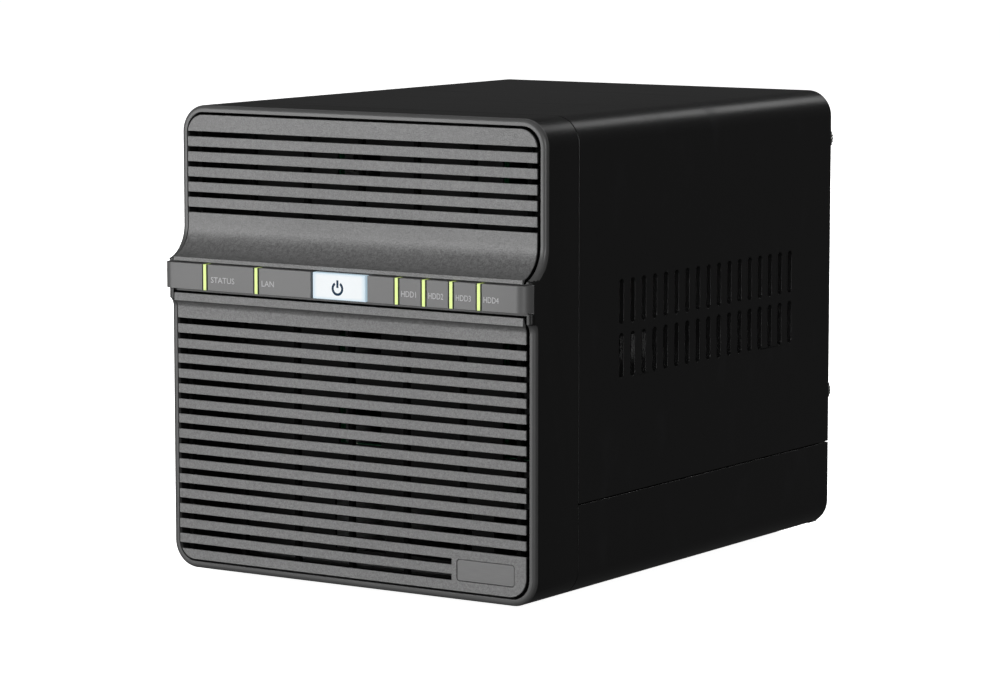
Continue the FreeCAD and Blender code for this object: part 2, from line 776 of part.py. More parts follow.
def connector_panel():
    panel = block(panel_x, panel_y, panel_z)
    left = [e for e in edges_along(panel, 1) if e.Vertexes[0].X < panel_x[0] + 0.1]
    panel = panel.makeFillet(door_corner_r, left)
    cutters = []
    for x, z in panel_openings():
        cutters.append(block(x, [105, 115], z))
    cutters.append(rod_y(board_x[1] + inlet_off, inlet_z, 6.8, 105, 115))
    cutters.append(rod_y(reset_x, reset_z, reset_r + 0.2, 105, 115))
    for column in range(6):
        for row in range(7):
            x = air_hole_start[0] + air_hole_pitch[0] * (column + (row % 2) / 2)
            z = air_hole_start[1] + air_hole_pitch[1] * row
            cutters.append(rod_y(x, z, air_hole_r, 105, 115))
    for x, z in panel_screw_places():
        cutters.append(rod_y(x, z, 1.6, 105, 115))
    foot = block([panel_x[0] + 8, panel_x[1]], [104.0, panel_y[1]], [panel_z[0], panel_z[0] + sheet])
    return fuse([panel, foot]).cut(Part.makeCompound(cutters))


def panel_screw_places():
    return [(-46.0, 14.0), (-46.0, 120.0), (-77.0, 125.0), (-46.0, 175.0)]


def board_screw_places():
    low = [board_y[0] + screw_inset[0], board_z[0] + screw_inset[0]]
    high = [board_y[1] - screw_inset[1], board_z[1] - screw_inset[0]]
    return [(y, z) for y in (low[0], high[0]) for z in (low[1], high[1])]


def main_board():
    board = block(board_x, board_y, board_z)
    chip_x = [board_x[1] - 0.1, board_x[1] + 1.6]
    chips = [block(chip_x, [-18.0, -4.0], z) for z in ([60.0, 74.0], [80.0, 94.0])]
    coil = block([board_x[1] - 0.1, board_x[1] + 6.0], [60.0, 74.0], [26.0, 40.0])
    solid = fuse([board, coil] + chips)
    for y, z in board_screw_places():
        solid = solid.cut(rod_x(y, z, 1.5, board_x[0] - 1, board_x[1] + 1))
    return solid


def heat_sink():
    base_x = [board_x[1] + 1.5, board_x[1] + 4.0]
    pieces = [block(base_x, sink_y, sink_z)]
    for index in range(sink_fins):
        y = sink_y[0] + index * sink_fin_pitch
        fin_x = [base_x[1] - 0.1, base_x[1] + sink_fin_high]
        pieces.append(block(fin_x, [y, y + sink_fin_wide], sink_z))
    chip = block([board_x[1], base_x[0] + 0.1], [28.0, 52.0], [74.0, 98.0])
    return fuse(pieces + [chip])


def network_jack():
    x = [board_x[1] + board_clear, board_x[1] + board_clear + jack_wide]
    shell = block(x, [90.0, panel_y[1] + 0.6], [jack_z - jack_half, jack_z + jack_half])
    mouth = block([x[0] + 3.2, x[0] + 11.2], [99.0, 120.0], [jack_z - 5.9, jack_z + 5.9])
    latch = block([x[0] + 1.4, x[0] + 3.3], [99.0, 120.0], [jack_z - 3.0, jack_z + 3.0])
    return shell.cut(Part.makeCompound([mouth, latch]))


def usb_socket(z):
    x = [board_x[1] + board_clear, board_x[1] + board_clear + usb_wide]
    shell = block(x, [97.0, panel_y[1] + 0.6], [z - usb_half, z + usb_half])
    mouth = block([x[0] + 0.9, x[1] - 0.9], [99.0, 120.0], [z - 6.3, z + 6.3])
    tongue = block([x[0] + 1.6, x[0] + 3.5], [98.5, 110.0], [z - 5.4, z + 5.4])
    return fuse([shell.cut(mouth), tongue])


def power_inlet():
    x = board_x[1] + inlet_off
    body_x = [board_x[1] + board_clear, board_x[1] + board_clear + 14.0]
    body = block(body_x, [94.0, 108.9], [inlet_z - 7, inlet_z + 7])
    collar = rod_y(x, inlet_z, 6.4, 108.0, panel_y[1] + 0.8)
    solid = fuse([body, collar]).cut(rod_y(x, inlet_z, 4.9, 100.0, 120.0))
    pins = []
    for turn in (45, 135, 225, 315):
        px = x + 2.6 * math.cos(math.radians(turn))
        pz = inlet_z + 2.6 * math.sin(math.radians(turn))
        pins.append(rod_y(px, pz, 0.6, 99.5, 108.0))
    return fuse([solid] + pins)


def reset_button():
    stem = rod_y(reset_x, reset_z, reset_r, 106.3, panel_y[1] + 0.2)
    collar = rod_y(reset_x, reset_z, reset_r + 1.0, 106.3, 107.3)
    return fuse([stem, collar])


def reset_switch():
    return block([board_x[1], -66.0], [101.0, 105.5], [reset_z - 4, reset_z + 4])


def light_board():
    board = block([-light_board_half, light_board_half], light_board_y, light_board_z)
    lamp_y = [lamp_front_y, light_board_y[0] + 0.1]
    lamps = [block([x - 1.6, x + 1.6], lamp_y, [117.6, 120.4]) for x in light_places()]
    return fuse([board] + lamps)


def power_switch():
    return block([-3.0, 3.0], [-108.1, light_board_y[0]], [116.0, 122.0])


def flat_cable():
    thick = cable_x[1] - cable_x[0]
    run = block(cable_x, [light_board_y[1], cable_rear_y], cable_z)
    jog = block([board_x[1], cable_x[1]], [cable_rear_y - thick, cable_rear_y], cable_z)
    plug_y = [cable_rear_y - 3.0, cable_rear_y + 2.4]
    plug = block([board_x[1], board_x[1] + 3.2], plug_y, [cable_z[0] - 1, cable_z[1] + 1])
    return fuse([run, jog, plug])


def fan_screws():
    return group([screw_y(x, z, door_y[1], 3.2, 1.8, 1.7, 9.0) for x, z in fan_corners()])


def panel_screws():
    return group([screw_y(x, z, panel_y[1], 2.8, 1.6, 1.5, 5.0) for x, z in panel_screw_places()])


def board_screws():
    """Screws that hold the main board, their heads on its component side."""
    screws = []
    for y, z in board_screw_places():
        head = rod_x(y, z, 2.8, board_x[1], board_x[1] + 1.8)
        shank = rod_x(y, z, 1.5, board_x[0] - 5.5, board_x[1])
        screws.append(fuse([head, shank]))
    return group(screws)


def main():
    upper = slot_rows(upper_slot_top, upper_slot_count, upper_slot_h, 0)
    lower = slot_rows(lower_slot_top, lower_slot_count, lower_slot_h, short_slots)
    save("front_bezel", front_bezel())
    save("upper_faceplate", faceplate([upper_plate_low, 190.0], upper, False))
    save("lower_faceplate", faceplate([0.0, lower_plate_high], lower, True))
    save("badge_plate", badge_plate())
    save("indicator_strip", indicator_strip())
    save("power_button", power_button())
    names = ["status_light_pipe", "network_light_pipe"]
    names += ["drive_light_pipe_" + str(i + 1) for i in range(len(drive_light_x))]
    for name, x in zip(names, light_places()):
        save(name, light_pipe(x))
    save("upper_cover", upper_cover())
    save("base_shell", base_shell())
    save("feet", feet())
    save("front_bulkhead", front_bulkhead())
    save("cage_left_wall", cage_wall(-1))
    save("cage_right_wall", cage_wall(1))
    save("cage_floor", cage_sheet([cage_floor_z, cage_floor_z + sheet]))
    save("cage_top", cage_sheet([cage_high - sheet, cage_high]))
    for index in range(tray_count):
        save("drive_tray_" + str(index + 1), drive_tray(index))
        save("tray_handle_" + str(index + 1), tray_handle(index))
    save("drive_backplane", drive_backplane())
    save("drive_sockets", drive_sockets())
    save("back_door", back_door())
    save("hinge_pin", hinge_pin())
    for name, z in zip(["lower", "upper"], fan_z):
        save("fan_frame_" + name, fan_frame(z))
        save("fan_rotor_" + name, fan_rotor(z))
    save("fan_screws", fan_screws())
    places = [(x, z) for x in thumb_x for z in thumb_z]
    for index, place in enumerate(places):
        save("thumbscrew_" + str(index + 1), thumbscrew(place[0], place[1]))
    save("connector_panel", connector_panel())
    save("panel_screws", panel_screws())
    save("main_board", main_board())
    save("board_screws", board_screws())
    save("heat_sink", heat_sink())
    save("network_jack", network_jack())
    save("usb_socket_lower", usb_socket(usb_z[0]))
    save("usb_socket_upper", usb_socket(usb_z[1]))
    save("power_inlet", power_inlet())
    save("reset_button", reset_button())
    save("reset_switch", reset_switch())
    save("light_board", light_board())
    save("power_switch", power_switch())
    save("flat_cable", flat_cable())


main()
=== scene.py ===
import bpy
import bmesh
import json
import math
from mathutils import Matrix, Vector


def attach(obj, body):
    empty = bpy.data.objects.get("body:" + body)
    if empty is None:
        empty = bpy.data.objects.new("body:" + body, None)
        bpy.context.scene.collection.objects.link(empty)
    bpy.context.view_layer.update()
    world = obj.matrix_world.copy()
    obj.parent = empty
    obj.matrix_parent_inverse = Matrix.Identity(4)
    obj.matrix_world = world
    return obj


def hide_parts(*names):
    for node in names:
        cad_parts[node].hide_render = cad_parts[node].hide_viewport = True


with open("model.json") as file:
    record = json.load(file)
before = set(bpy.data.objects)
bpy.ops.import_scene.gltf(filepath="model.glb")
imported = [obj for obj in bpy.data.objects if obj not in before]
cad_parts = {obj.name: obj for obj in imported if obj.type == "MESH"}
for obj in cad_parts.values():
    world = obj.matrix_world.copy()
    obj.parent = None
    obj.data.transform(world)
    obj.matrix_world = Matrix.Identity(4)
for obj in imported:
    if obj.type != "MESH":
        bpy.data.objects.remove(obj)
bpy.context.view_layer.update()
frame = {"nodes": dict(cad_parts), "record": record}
nodes = frame["nodes"]
print("frame loaded:", len(nodes), "nodes")

mm = 0.001
micron = 0.000001
mergeReach = 0.00001  # how close points are to become one
collection = bpy.context.scene.collection


class Wire:  # a socket that takes part in sums
    def __init__(self, sheet, socket):
        self.sheet = sheet
        self.socket = socket

    def calc(self, operation, *terms):
        return self.sheet.node("Math", {"operation": operation}, dict(enumerate(terms)))

    def __add__(self, other):
        return self.calc("ADD", self, other)

    def __radd__(self, other):
        return self.calc("ADD", other, self)

    def __sub__(self, other):
        return self.calc("SUBTRACT", self, other)

    def __rsub__(self, other):
        return self.calc("SUBTRACT", other, self)

    def __mul__(self, other):
        return self.calc("MULTIPLY", self, other)

    def __rmul__(self, other):
        return self.calc("MULTIPLY", other, self)

    def __truediv__(self, other):
        return self.calc("DIVIDE", self, other)

    def __rtruediv__(self, other):
        return self.calc("DIVIDE", other, self)

    def size(self):
        return self.calc("ABSOLUTE", self)

    def wave(self):
        return self.calc("SINE", self)

    def cycle(self, length):  # 0 to 1 over each length
        return self.calc("FRACT", self / length)

    def ramp(self, low, high, start=0.0, end=1.0):  # a soft step between two values
        settings = {"interpolation_type": "SMOOTHSTEP"}
        return self.sheet.node("MapRange", settings, {0: self, 1: low, 2: high, 3: start, 4: end})


class Finish:  # one material, built from expressions
    def __init__(self, name):
        self.material = bpy.data.materials.new(name)
        self.material.use_nodes = True
        self.tree = self.material.node_tree
        self.tree.nodes.clear()
        self.end = self.tree.nodes.new("ShaderNodeOutputMaterial")

    def node(self, kind, settings=None, inputs=None, out=0):
        made = self.tree.nodes.new("ShaderNode" + kind)
        for key, value in (settings or {}).items():
            if key == "stops":
                self.stops(made, value)
            else:
                setattr(made, key, value)
        for key, value in (inputs or {}).items():
            self.feed(made.inputs[key], value)
        return Wire(self, made.outputs[out])

    def stops(self, made, places):
        points = made.color_ramp.elements
        while len(points) < len(places):
            points.new(1.0)
        for point, (place, colour) in zip(points, places):
            point.position = place
            point.color = colour

    def feed(self, socket, value):
        if isinstance(value, Wire):
            self.tree.links.new(value.socket, socket)
        else:
            socket.default_value = value

    def place(self):  # where on the piece, in metres
        return self.node("TexCoord", out="Object")

    def axes(self, at):  # x, y and z of a place
        split = self.node("SeparateXYZ", inputs={0: at}).socket.node
        return [Wire(self, out) for out in split.outputs]

    def noise(self, at, scale, detail=3.0, roughness=0.5):
        values = {"Vector": at, "Scale": scale, "Detail": detail, "Roughness": roughness}
        return self.node("TexNoise", inputs=values)

    def cells(self, at, scale, out="Distance"):
        return self.node("TexVoronoi", inputs={"Vector": at, "Scale": scale}, out=out)

    def stretched(self, at, factors):
        return self.node("Mapping", inputs={"Vector": at, "Scale": factors})

    def blend(self, share, first, second):  # a colour between two colours
        return self.node("Mix", {"data_type": "RGBA"}, {0: share, 6: first, 7: second}, out=2)

    def bump(self, height, depth, strength=1.0):
        return self.node("Bump", inputs={"Height": height, "Distance": depth, "Strength": strength})

    def shader(self, **values):
        made = self.tree.nodes.new("ShaderNodeBsdfPrincipled")
        for key, value in values.items():
            self.feed(made.inputs[key], value)
        return Wire(self, made.outputs[0])

    def surface(self, **values):
        return self.close(self.shader(**values))

    def close(self, shader):
        self.tree.links.new(shader.socket, self.end.inputs["Surface"])
        return self.material


def grey(value, tint=(1.0, 1.0, 1.0)):
    return (value * tint[0], value * tint[1], value * tint[2], 1.0)


caseLook = {"black": 0.0065, "roughness": 0.34, "grain": 900.0, "grainDepth": 20 * micron}


def makeCaseBlack():  # satin black moulding: fine grain, faint handling marks
    sheet = Finish("caseBlack")
    at = sheet.place()
    grain = sheet.noise(at, caseLook["grain"] * 2.2, 2.0)
    cloud = sheet.noise(at, 9.0, 4.0)
    smear = sheet.noise(sheet.stretched(at, (6.0, 30.0, 12.0)), 3.0, 5.0)
    worn = smear.ramp(0.56, 0.74)
    roughness = caseLook["roughness"] + (cloud - 0.5) * 0.12 + worn * 0.06
    colour = sheet.blend(worn * 0.35 + grain * 0.25, grey(caseLook["black"]), grey(0.014, (1, 1, 1.06)))
    normal = sheet.bump(grain, caseLook["grainDepth"], 0.35)
    return sheet.surface(**{"Base Color": colour, "Roughness": roughness, "Normal": normal,
                            "Specular IOR Level": 0.42})


plateLook = {"light": 0.17, "dark": 0.07, "speck": 2000.0, "depth": 60 * micron}


def makePlateGrey():  # spark-textured grey; painted shade makes it near-black and dull deeper than 0.4 to 0.8 mm behind the face, in the slots and down the edges, over the black unpainted plastic there
    sheet = Finish("plateGrey")
    at = sheet.place()
    speck = sheet.noise(at, plateLook["speck"], 2.0, 0.7)
    coarse = sheet.noise(at, plateLook["speck"] * 0.37, 3.0, 0.6)
    cloud = sheet.noise(at, 14.0, 3.0)
    mixed = (speck * 0.6 + coarse * 0.4).ramp(0.32, 0.68)
    colour = sheet.blend(mixed, grey(plateLook["dark"]), grey(plateLook["light"]))
    roughness = 0.38 + (cloud - 0.5) * 0.12 + mixed * 0.08
    normal = sheet.bump(mixed, plateLook["depth"], 0.8)
    values = {"Base Color": colour, "Roughness": roughness, "Normal": normal}
    face = sheet.shader(**values, **{"Specular IOR Level": 0.75})
    # painted shade: past this depth a near-black, dull shader stands in for the shadow inside the slots
    depth = sheet.node("Attribute", {"attribute_name": "depth"}, out="Fac").ramp(0.4 * mm, 0.8 * mm)
    inside = sheet.shader(**{"Base Color": grey(0.002), "Roughness": 0.9, "Specular IOR Level": 0.03})
    return sheet.close(sheet.node("MixShader", inputs={0: depth, 1: face, 2: inside}))


def makeRimGrey():  # the satin frame round the front, darker down its sides, and painted shade: black on the lips above and below the strip
    sheet = Finish("rimGrey")
    at = sheet.place()
    grain = sheet.noise(at, 2200.0, 2.0)
    cloud = sheet.noise(at, 18.0, 3.0)
    rim = sheet.node("Attribute", {"attribute_name": "rim"}, out="Fac")
    face = sheet.blend(cloud, grey(0.070), grey(0.088))
    sideBlackAndLipShade = sheet.blend(grain * 0.4, grey(0.0065), grey(0.014))
    # the black sides are the moulding's own colour; the black lips are painted shade
    side = rim.ramp(1.6 * mm, 1.9 * mm)
    colour = sheet.blend(side, face, sideBlackAndLipShade)
    roughness = 0.36 + (cloud - 0.5) * 0.1
    normal = sheet.bump(grain, 20 * micron, 0.3)
    return sheet.surface(**{"Base Color": colour, "Roughness": roughness, "Normal": normal,
                            "Specular IOR Level": 0.42})


def makeStripGrey():  # smooth satin bar
    sheet = Finish("stripGrey")
    at = sheet.place()
    cloud = sheet.noise(at, 25.0, 3.0)
    fine = sheet.noise(sheet.stretched(at, (0.3, 1.0, 1.0)), 3200.0, 2.0)
    colour = sheet.blend(cloud * 0.5 + fine * 0.5, grey(0.105), grey(0.130))
    roughness = 0.4 + (cloud - 0.5) * 0.1 + (fine - 0.5) * 0.1
    normal = sheet.bump(fine, 10 * micron, 0.3)
    return sheet.surface(**{"Base Color": colour, "Roughness": roughness, "Normal": normal})


stripMiddle = 119.0 * mm


def makeLampGreen():  # lit light pipes, a brighter core between darker edges; the dark edges are painted shadow of the gaps beside each pipe
    sheet = Finish("lampGreen")
    at = sheet.place()
    z = sheet.axes(at)[2]
    haze = sheet.noise(at, 700.0, 2.0)
    across = sheet.node("Attribute", {"attribute_name": "across"}, out="Fac").size()
    # painted shadow: the pipe's edges go near-black for the gap shadows on either side
    core = across.ramp(0.86, 0.60)
    glow = core * ((z - stripMiddle) / mm).size().ramp(5.2, 3.6, 0.7, 1.0)
    colour = sheet.blend(core, (0.02, 0.03, 0.006, 1.0), (0.50, 0.62, 0.17, 1.0))
    light = sheet.blend(glow, (0.01, 0.016, 0.002, 1.0), (0.56, 0.70, 0.19, 1.0))
    shader = {"Base Color": colour, "Roughness": 0.3 + haze * 0.1, "Emission Color": light}
    return sheet.surface(**shader, **{"Emission Strength": 0.55})


def makeButtonWhite():  # lit from behind: bluish at its edges, cloudy white inside
    sheet = Finish("buttonWhite")
    at = sheet.place()
    x, y, z = sheet.axes(at)
    haze = sheet.noise(at, 180.0, 3.0)
    across = (x / mm).size()
    up = ((z - stripMiddle) / mm).size()
    edge = across.ramp(9.8, 12.2) + up.ramp(3.7, 5.1)
    light = sheet.blend(edge.calc("MINIMUM", edge, 1.0), (0.92, 0.95, 0.96, 1.0), (0.55, 0.76, 0.90, 1.0))
    colour = sheet.blend(haze, (0.28, 0.31, 0.33, 1.0), (0.34, 0.36, 0.37, 1.0))
    shader = {"Base Color": colour, "Roughness": 0.28 + haze * 0.1, "Emission Color": light}
    return sheet.surface(**shader, **{"Emission Strength": 0.52})


def makeInk(name, colour, glow=0.0):  # printed marks
    sheet = Finish(name)
    at = sheet.place()
    wear = sheet.noise(at, 2500.0, 2.0)
    faded = tuple(part * 0.82 for part in colour[:3]) + (1.0,)
    tone = sheet.blend(wear, faded, colour)
    values = {"Base Color": tone, "Roughness": 0.45 + wear * 0.15, "Emission Color": tone}
    return sheet.surface(**values, **{"Emission Strength": glow, "Specular IOR Level": 0.12})


def makeBadge():  # dark blank plate, finely brushed
    sheet = Finish("badgeDark")
    at = sheet.place()
    brushed = sheet.noise(sheet.stretched(at, (0.05, 1.0, 1.0)), 3000.0, 3.0)
    cloud = sheet.noise(at, 60.0, 2.0)
    colour = sheet.blend(brushed, grey(0.115), grey(0.150))
    roughness = 0.26 + brushed * 0.12 + (cloud - 0.5) * 0.08
    return sheet.surface(**{"Base Color": colour, "Roughness": roughness,
                            "Normal": sheet.bump(brushed, 10 * micron, 0.3)})


def makeRubber():
    sheet = Finish("footRubber")
    at = sheet.place()
    grain = sheet.noise(at, 1600.0, 3.0, 0.7)
    scuff = sheet.noise(at, 120.0, 4.0).ramp(0.55, 0.75)
    colour = sheet.blend(scuff * 0.5, grey(0.016), grey(0.05, (1, 0.98, 0.95)))
    return sheet.surface(**{"Base Color": colour, "Roughness": 0.78 + grain * 0.15,
                            "Normal": sheet.bump(grain, 50 * micron, 0.6)})


def makeZinc():  # plated sheet: soft spangle under a rolled grain
    sheet = Finish("zincSheet")
    at = sheet.place()
    spangle = sheet.cells(at, 110.0, "Color")
    tone = sheet.node("RGBToBW", inputs={0: spangle})
    rolled = sheet.noise(sheet.stretched(at, (1.0, 0.04, 1.0)), 900.0, 4.0)
    cloud = sheet.noise(at, 12.0, 4.0)
    colour = sheet.blend(tone * 0.35 + rolled * 0.45 + cloud * 0.2, grey(0.40, (0.97, 0.99, 1.0)),
                         grey(0.62, (1.0, 0.99, 0.97)))
    roughness = 0.30 + rolled * 0.16 + tone * 0.08
    return sheet.surface(**{"Base Color": colour, "Roughness": roughness, "Metallic": 0.7,
                            "Normal": sheet.bump(rolled, 20 * micron, 0.3)})


def makeMoulded(name, tone, grain, roughness=0.5):  # textured black plastics
    sheet = Finish(name)
    at = sheet.place()
    fine = sheet.noise(at, grain, 3.0, 0.65)
    cloud = sheet.noise(at, 30.0, 3.0)
    colour = sheet.blend(fine * 0.6 + cloud * 0.4, grey(tone * 0.75), grey(tone * 1.35))
    return sheet.surface(**{"Base Color": colour, "Roughness": roughness + (cloud - 0.5) * 0.14,
                            "Normal": sheet.bump(fine, 40 * micron, 0.55)})


def makeDoorPaint():  # black powder coat, orange peel and fine sparkle
    sheet = Finish("doorPaint")
    at = sheet.place()
    peel = sheet.noise(at, 650.0, 2.0)
    sparkle = sheet.noise(at, 3800.0, 1.0).ramp(0.6, 0.75)
    cloud = sheet.noise(at, 16.0, 4.0)
    colour = sheet.blend(sparkle * 0.6 + cloud * 0.3, grey(0.040), grey(0.090))
    return sheet.surface(**{"Base Color": colour, "Roughness": 0.42 + peel * 0.16,
                            "Normal": sheet.bump(peel, 50 * micron, 0.6)})


boardLook = {
    "mask": (0.010, 0.085, 0.035, 1.0), "track": (0.022, 0.15, 0.062, 1.0), "tin": (0.55, 0.52, 0.45, 1.0),
    "pitch": 2.6 * mm, "wander": 4.0 * mm, "crossPitch": 3.38 * mm, "areas": 60.0, "vias": 330.0,
}


def makeBoard():  # solder mask over tracks, with tinned vias
    sheet = Finish("boardGreen")
    at = sheet.place()
    x, y, z = sheet.axes(at)
    wander = sheet.noise(at, 45.0, 1.0) * boardLook["wander"]
    alongTrack = ((y + wander).cycle(boardLook["pitch"]) - 0.5).size().ramp(0.17, 0.12)
    acrossTrack = ((z + wander).cycle(boardLook["crossPitch"]) - 0.5).size().ramp(0.16, 0.11)
    area = sheet.cells(at, boardLook["areas"], "Color")
    pick = sheet.node("RGBToBW", inputs={0: area}).ramp(0.47, 0.5)
    track = alongTrack * pick + acrossTrack * (1.0 - pick)
    via = sheet.cells(at, boardLook["vias"]).ramp(0.16, 0.11)
    masked = sheet.blend(track * 0.9, boardLook["mask"], boardLook["track"])
    colour = sheet.blend(via, masked, boardLook["tin"])
    return sheet.surface(**{"Base Color": colour, "Roughness": 0.32 + via * 0.1, "Metallic": via * 0.9,
                            "Normal": sheet.bump(track + via, 30 * micron, 0.5)})


def makePlated(name, tone, roughness, metallic=1.0):  # nickel, tin or gold plating
    sheet = Finish(name)
    at = sheet.place()
    drawn = sheet.noise(sheet.stretched(at, (1.0, 0.08, 1.0)), 1500.0, 3.0)
    cloud = sheet.noise(at, 60.0, 3.0)
    dull = tuple(part * 0.72 for part in tone[:3]) + (1.0,)
    colour = sheet.blend(drawn * 0.5 + cloud * 0.5, dull, tone)
    return sheet.surface(**{"Base Color": colour, "Roughness": roughness + drawn * 0.12,
                            "Metallic": metallic, "Normal": sheet.bump(drawn, 10 * micron, 0.4)})


def makeExtrusion():  # anodised heat sink with lines along the fins
    sheet = Finish("sinkAluminium")
    at = sheet.place()
    lines = sheet.noise(sheet.stretched(at, (1.0, 1.0, 0.02)), 2200.0, 3.0)
    cloud = sheet.noise(at, 40.0, 3.0)
    colour = sheet.blend(lines * 0.6 + cloud * 0.4, grey(0.50), grey(0.72, (0.99, 1.0, 1.02)))
    return sheet.surface(**{"Base Color": colour, "Roughness": 0.36 + lines * 0.16, "Metallic": 1.0,
                            "Normal": sheet.bump(lines, 20 * micron, 0.5)})


ribbonLook = {"pitch": 1.27 * mm, "markedEdge": (122.6 * mm, 122.9 * mm)}


def makeRibbon():  # ribbed ribbon cable with one marked edge
    sheet = Finish("ribbonGrey")
    at = sheet.place()
    z = sheet.axes(at)[2]
    rib = ((z.cycle(ribbonLook["pitch"]) - 0.5) * (2 * math.pi)).wave()
    marked = z.ramp(*ribbonLook["markedEdge"])
    wear = sheet.noise(at, 90.0, 3.0)
    base = sheet.blend(wear, grey(0.27), grey(0.36))
    colour = sheet.blend(marked, base, (0.45, 0.03, 0.02, 1.0))
    return sheet.surface(**{"Base Color": colour, "Roughness": 0.55 + wear * 0.1,
                            "Normal": sheet.bump(rib, 0.2 * mm, 0.5)})


finishes = {
    "case": makeCaseBlack(),
    "plate": makePlateGrey(),
    "rim": makeRimGrey(),
    "strip": makeStripGrey(),
    "lamp": makeLampGreen(),
    "button": makeButtonWhite(),
    "label": makeInk("labelInk", (0.60, 0.60, 0.61, 1.0)),
    "icon": makeInk("iconInk", (0.008, 0.035, 0.075, 1.0), 0.05),
    "badge": makeBadge(),
    "rubber": makeRubber(),
    "zinc": makeZinc(),
    "tray": makeMoulded("trayPlastic", 0.062, 900.0, 0.48),
    "handle": makeMoulded("handlePlastic", 0.046, 1500.0, 0.42),
    "socket": makeMoulded("socketPlastic", 0.030, 1800.0, 0.38),
    "chip": makeMoulded("chipPlastic", 0.022, 2600.0, 0.55),
    "fan": makeMoulded("fanPlastic", 0.042, 1100.0, 0.36),
    "rotor": makeMoulded("rotorPlastic", 0.052, 1400.0, 0.30),
    "door": makeDoorPaint(),
    # painted shade: the front bulkhead is black-coated but made far darker and duller than paint so the
    # view through the slots reads as shadow
    "screen": makeMoulded("screenPaint", 0.004, 900.0, 0.85),
    "board": makeBoard(),
    "nickel": makePlated("nickelShell", (0.66, 0.65, 0.63, 1.0), 0.24, 0.7),
    "gold": makePlated("goldContact", (0.78, 0.56, 0.22, 1.0), 0.18),
    "screw": makePlated("screwSteel", (0.42, 0.42, 0.41, 1.0), 0.30, 0.65),
    "blackScrew": makePlated("screwBlack", (0.05, 0.05, 0.052, 1.0), 0.32),
    "thumb": makePlated("thumbSteel", (0.26, 0.26, 0.255, 1.0), 0.32, 0.5),
    "sink": makeExtrusion(),
    "ribbon": makeRibbon(),
    "resetKey": makeMoulded("resetPlastic", 0.11, 1500.0, 0.34),
    "foil": makePlated("fanFoil", (0.62, 0.62, 0.63, 1.0), 0.30),
    "capCan": makePlated("capacitorCan", (0.66, 0.66, 0.68, 1.0), 0.24),
    "tongue": makeMoulded("tonguePlastic", 0.030, 1800.0, 0.36),
    "amber": makeInk("jackAmber", (0.55, 0.30, 0.04, 1.0)),
}
print("finishes made:", len(finishes))


record = frame["record"]
bodyOf = {name: body for body, names in record["behaviour"]["bodies"].items() for name in names}
slotOf = {part["node"]: part["material_slot"] for part in record["subparts"]}


def addStep(piece, kind, **settings):
    made = piece.modifiers.new(kind.title().replace("_", ""), kind)
    for key, value in settings.items():
        setattr(made, key, value)
    return made


def addBevel(piece, width, segments=2, angle=30):
    return addStep(piece, "BEVEL", width=width, segments=segments, limit_method="ANGLE",
                   angle_limit=math.radians(angle), harden_normals=True, use_clamp_overlap=False)


def smoothAll(mesh):
    mesh.polygons.foreach_set("use_smooth", [True] * len(mesh.polygons))


def makeObject(name, mesh):
    piece = bpy.data.objects.new(name, mesh)
    collection.objects.link(piece)
    return piece


def settle(piece, place=None):  # bakes the stack, then the place, into the mesh
    seen = bpy.context.evaluated_depsgraph_get()
    done = bpy.data.meshes.new_from_object(piece.evaluated_get(seen), depsgraph=seen)
    if place is not None:
        done.transform(place)
    piece.modifiers.clear()
    piece.data = done
    return piece


def present(piece, finish, body, slotName, *stands):  # dress a piece and tie it to the frame
    piece.data.materials.clear()
    piece.data.materials.append(finishes[finish])
    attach(piece, body)
    if stands:
        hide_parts(*stands)
    return piece


def tidyMesh(name, node):  # a merged copy of a CAD node, flat areas joined up
    mesh = bpy.data.meshes.new(name)
    work = bmesh.new()
    work.from_mesh(nodes[node].data)
    bmesh.ops.remove_doubles(work, verts=work.verts, dist=mergeReach)
    bmesh.ops.dissolve_degenerate(work, dist=mergeReach, edges=work.edges)
    flat = math.radians(0.4)
    bmesh.ops.dissolve_limit(work, angle_limit=flat, verts=work.verts, edges=work.edges)
    work.to_mesh(mesh)
    work.free()
    spare = mesh.attributes.get("custom_normal")
    if spare:
        mesh.attributes.remove(spare)
    smoothAll(mesh)
    return mesh


def tidyCopy(name, node, finish, width, segments=2):
    piece = makeObject(name, tidyMesh(name, node))
    addBevel(piece, width, segments)
    return present(piece, finish, bodyOf[node], slotOf[node], node)


def markPoints(mesh, name, measure):  # one number at each point, for the finish to read
    layer = mesh.attributes.new(name, "FLOAT", "POINT")
    layer.data.foreach_set("value", [measure(point.co) for point in mesh.vertices])


def meshFrom(name, points, faces):
    mesh = bpy.data.meshes.new(name)
    mesh.from_pydata([tuple(point) for point in points], [], faces)
    mesh.update()
    return mesh


frontLook = {
    "upperRim": -102.7 * mm, "lowerRim": -110.0 * mm, "upperLip": -112.4 * mm, "lowerLip": -112.1 * mm,
    "sweepHeight": 137.7 * mm, "sweepRadius": 12.8 * mm, "lipHeight": 125.28 * mm,
    "lowSweepHeight": 106.2 * mm, "lowSweepRadius": 3.6 * mm, "lowLipHeight": 109.47 * mm,
    "lipEdge": 0.1 * mm, "lipDepth": 10 * mm, "proud": 0.85 * mm, "plateEdge": 0.16 * mm,
    "rimEdge": 0.12 * mm, "stripEdge": 0.12 * mm, "badgeEdge": 0.18 * mm, "keyEdge": 0.22 * mm,
    "lampEdge": 0.1 * mm,
}


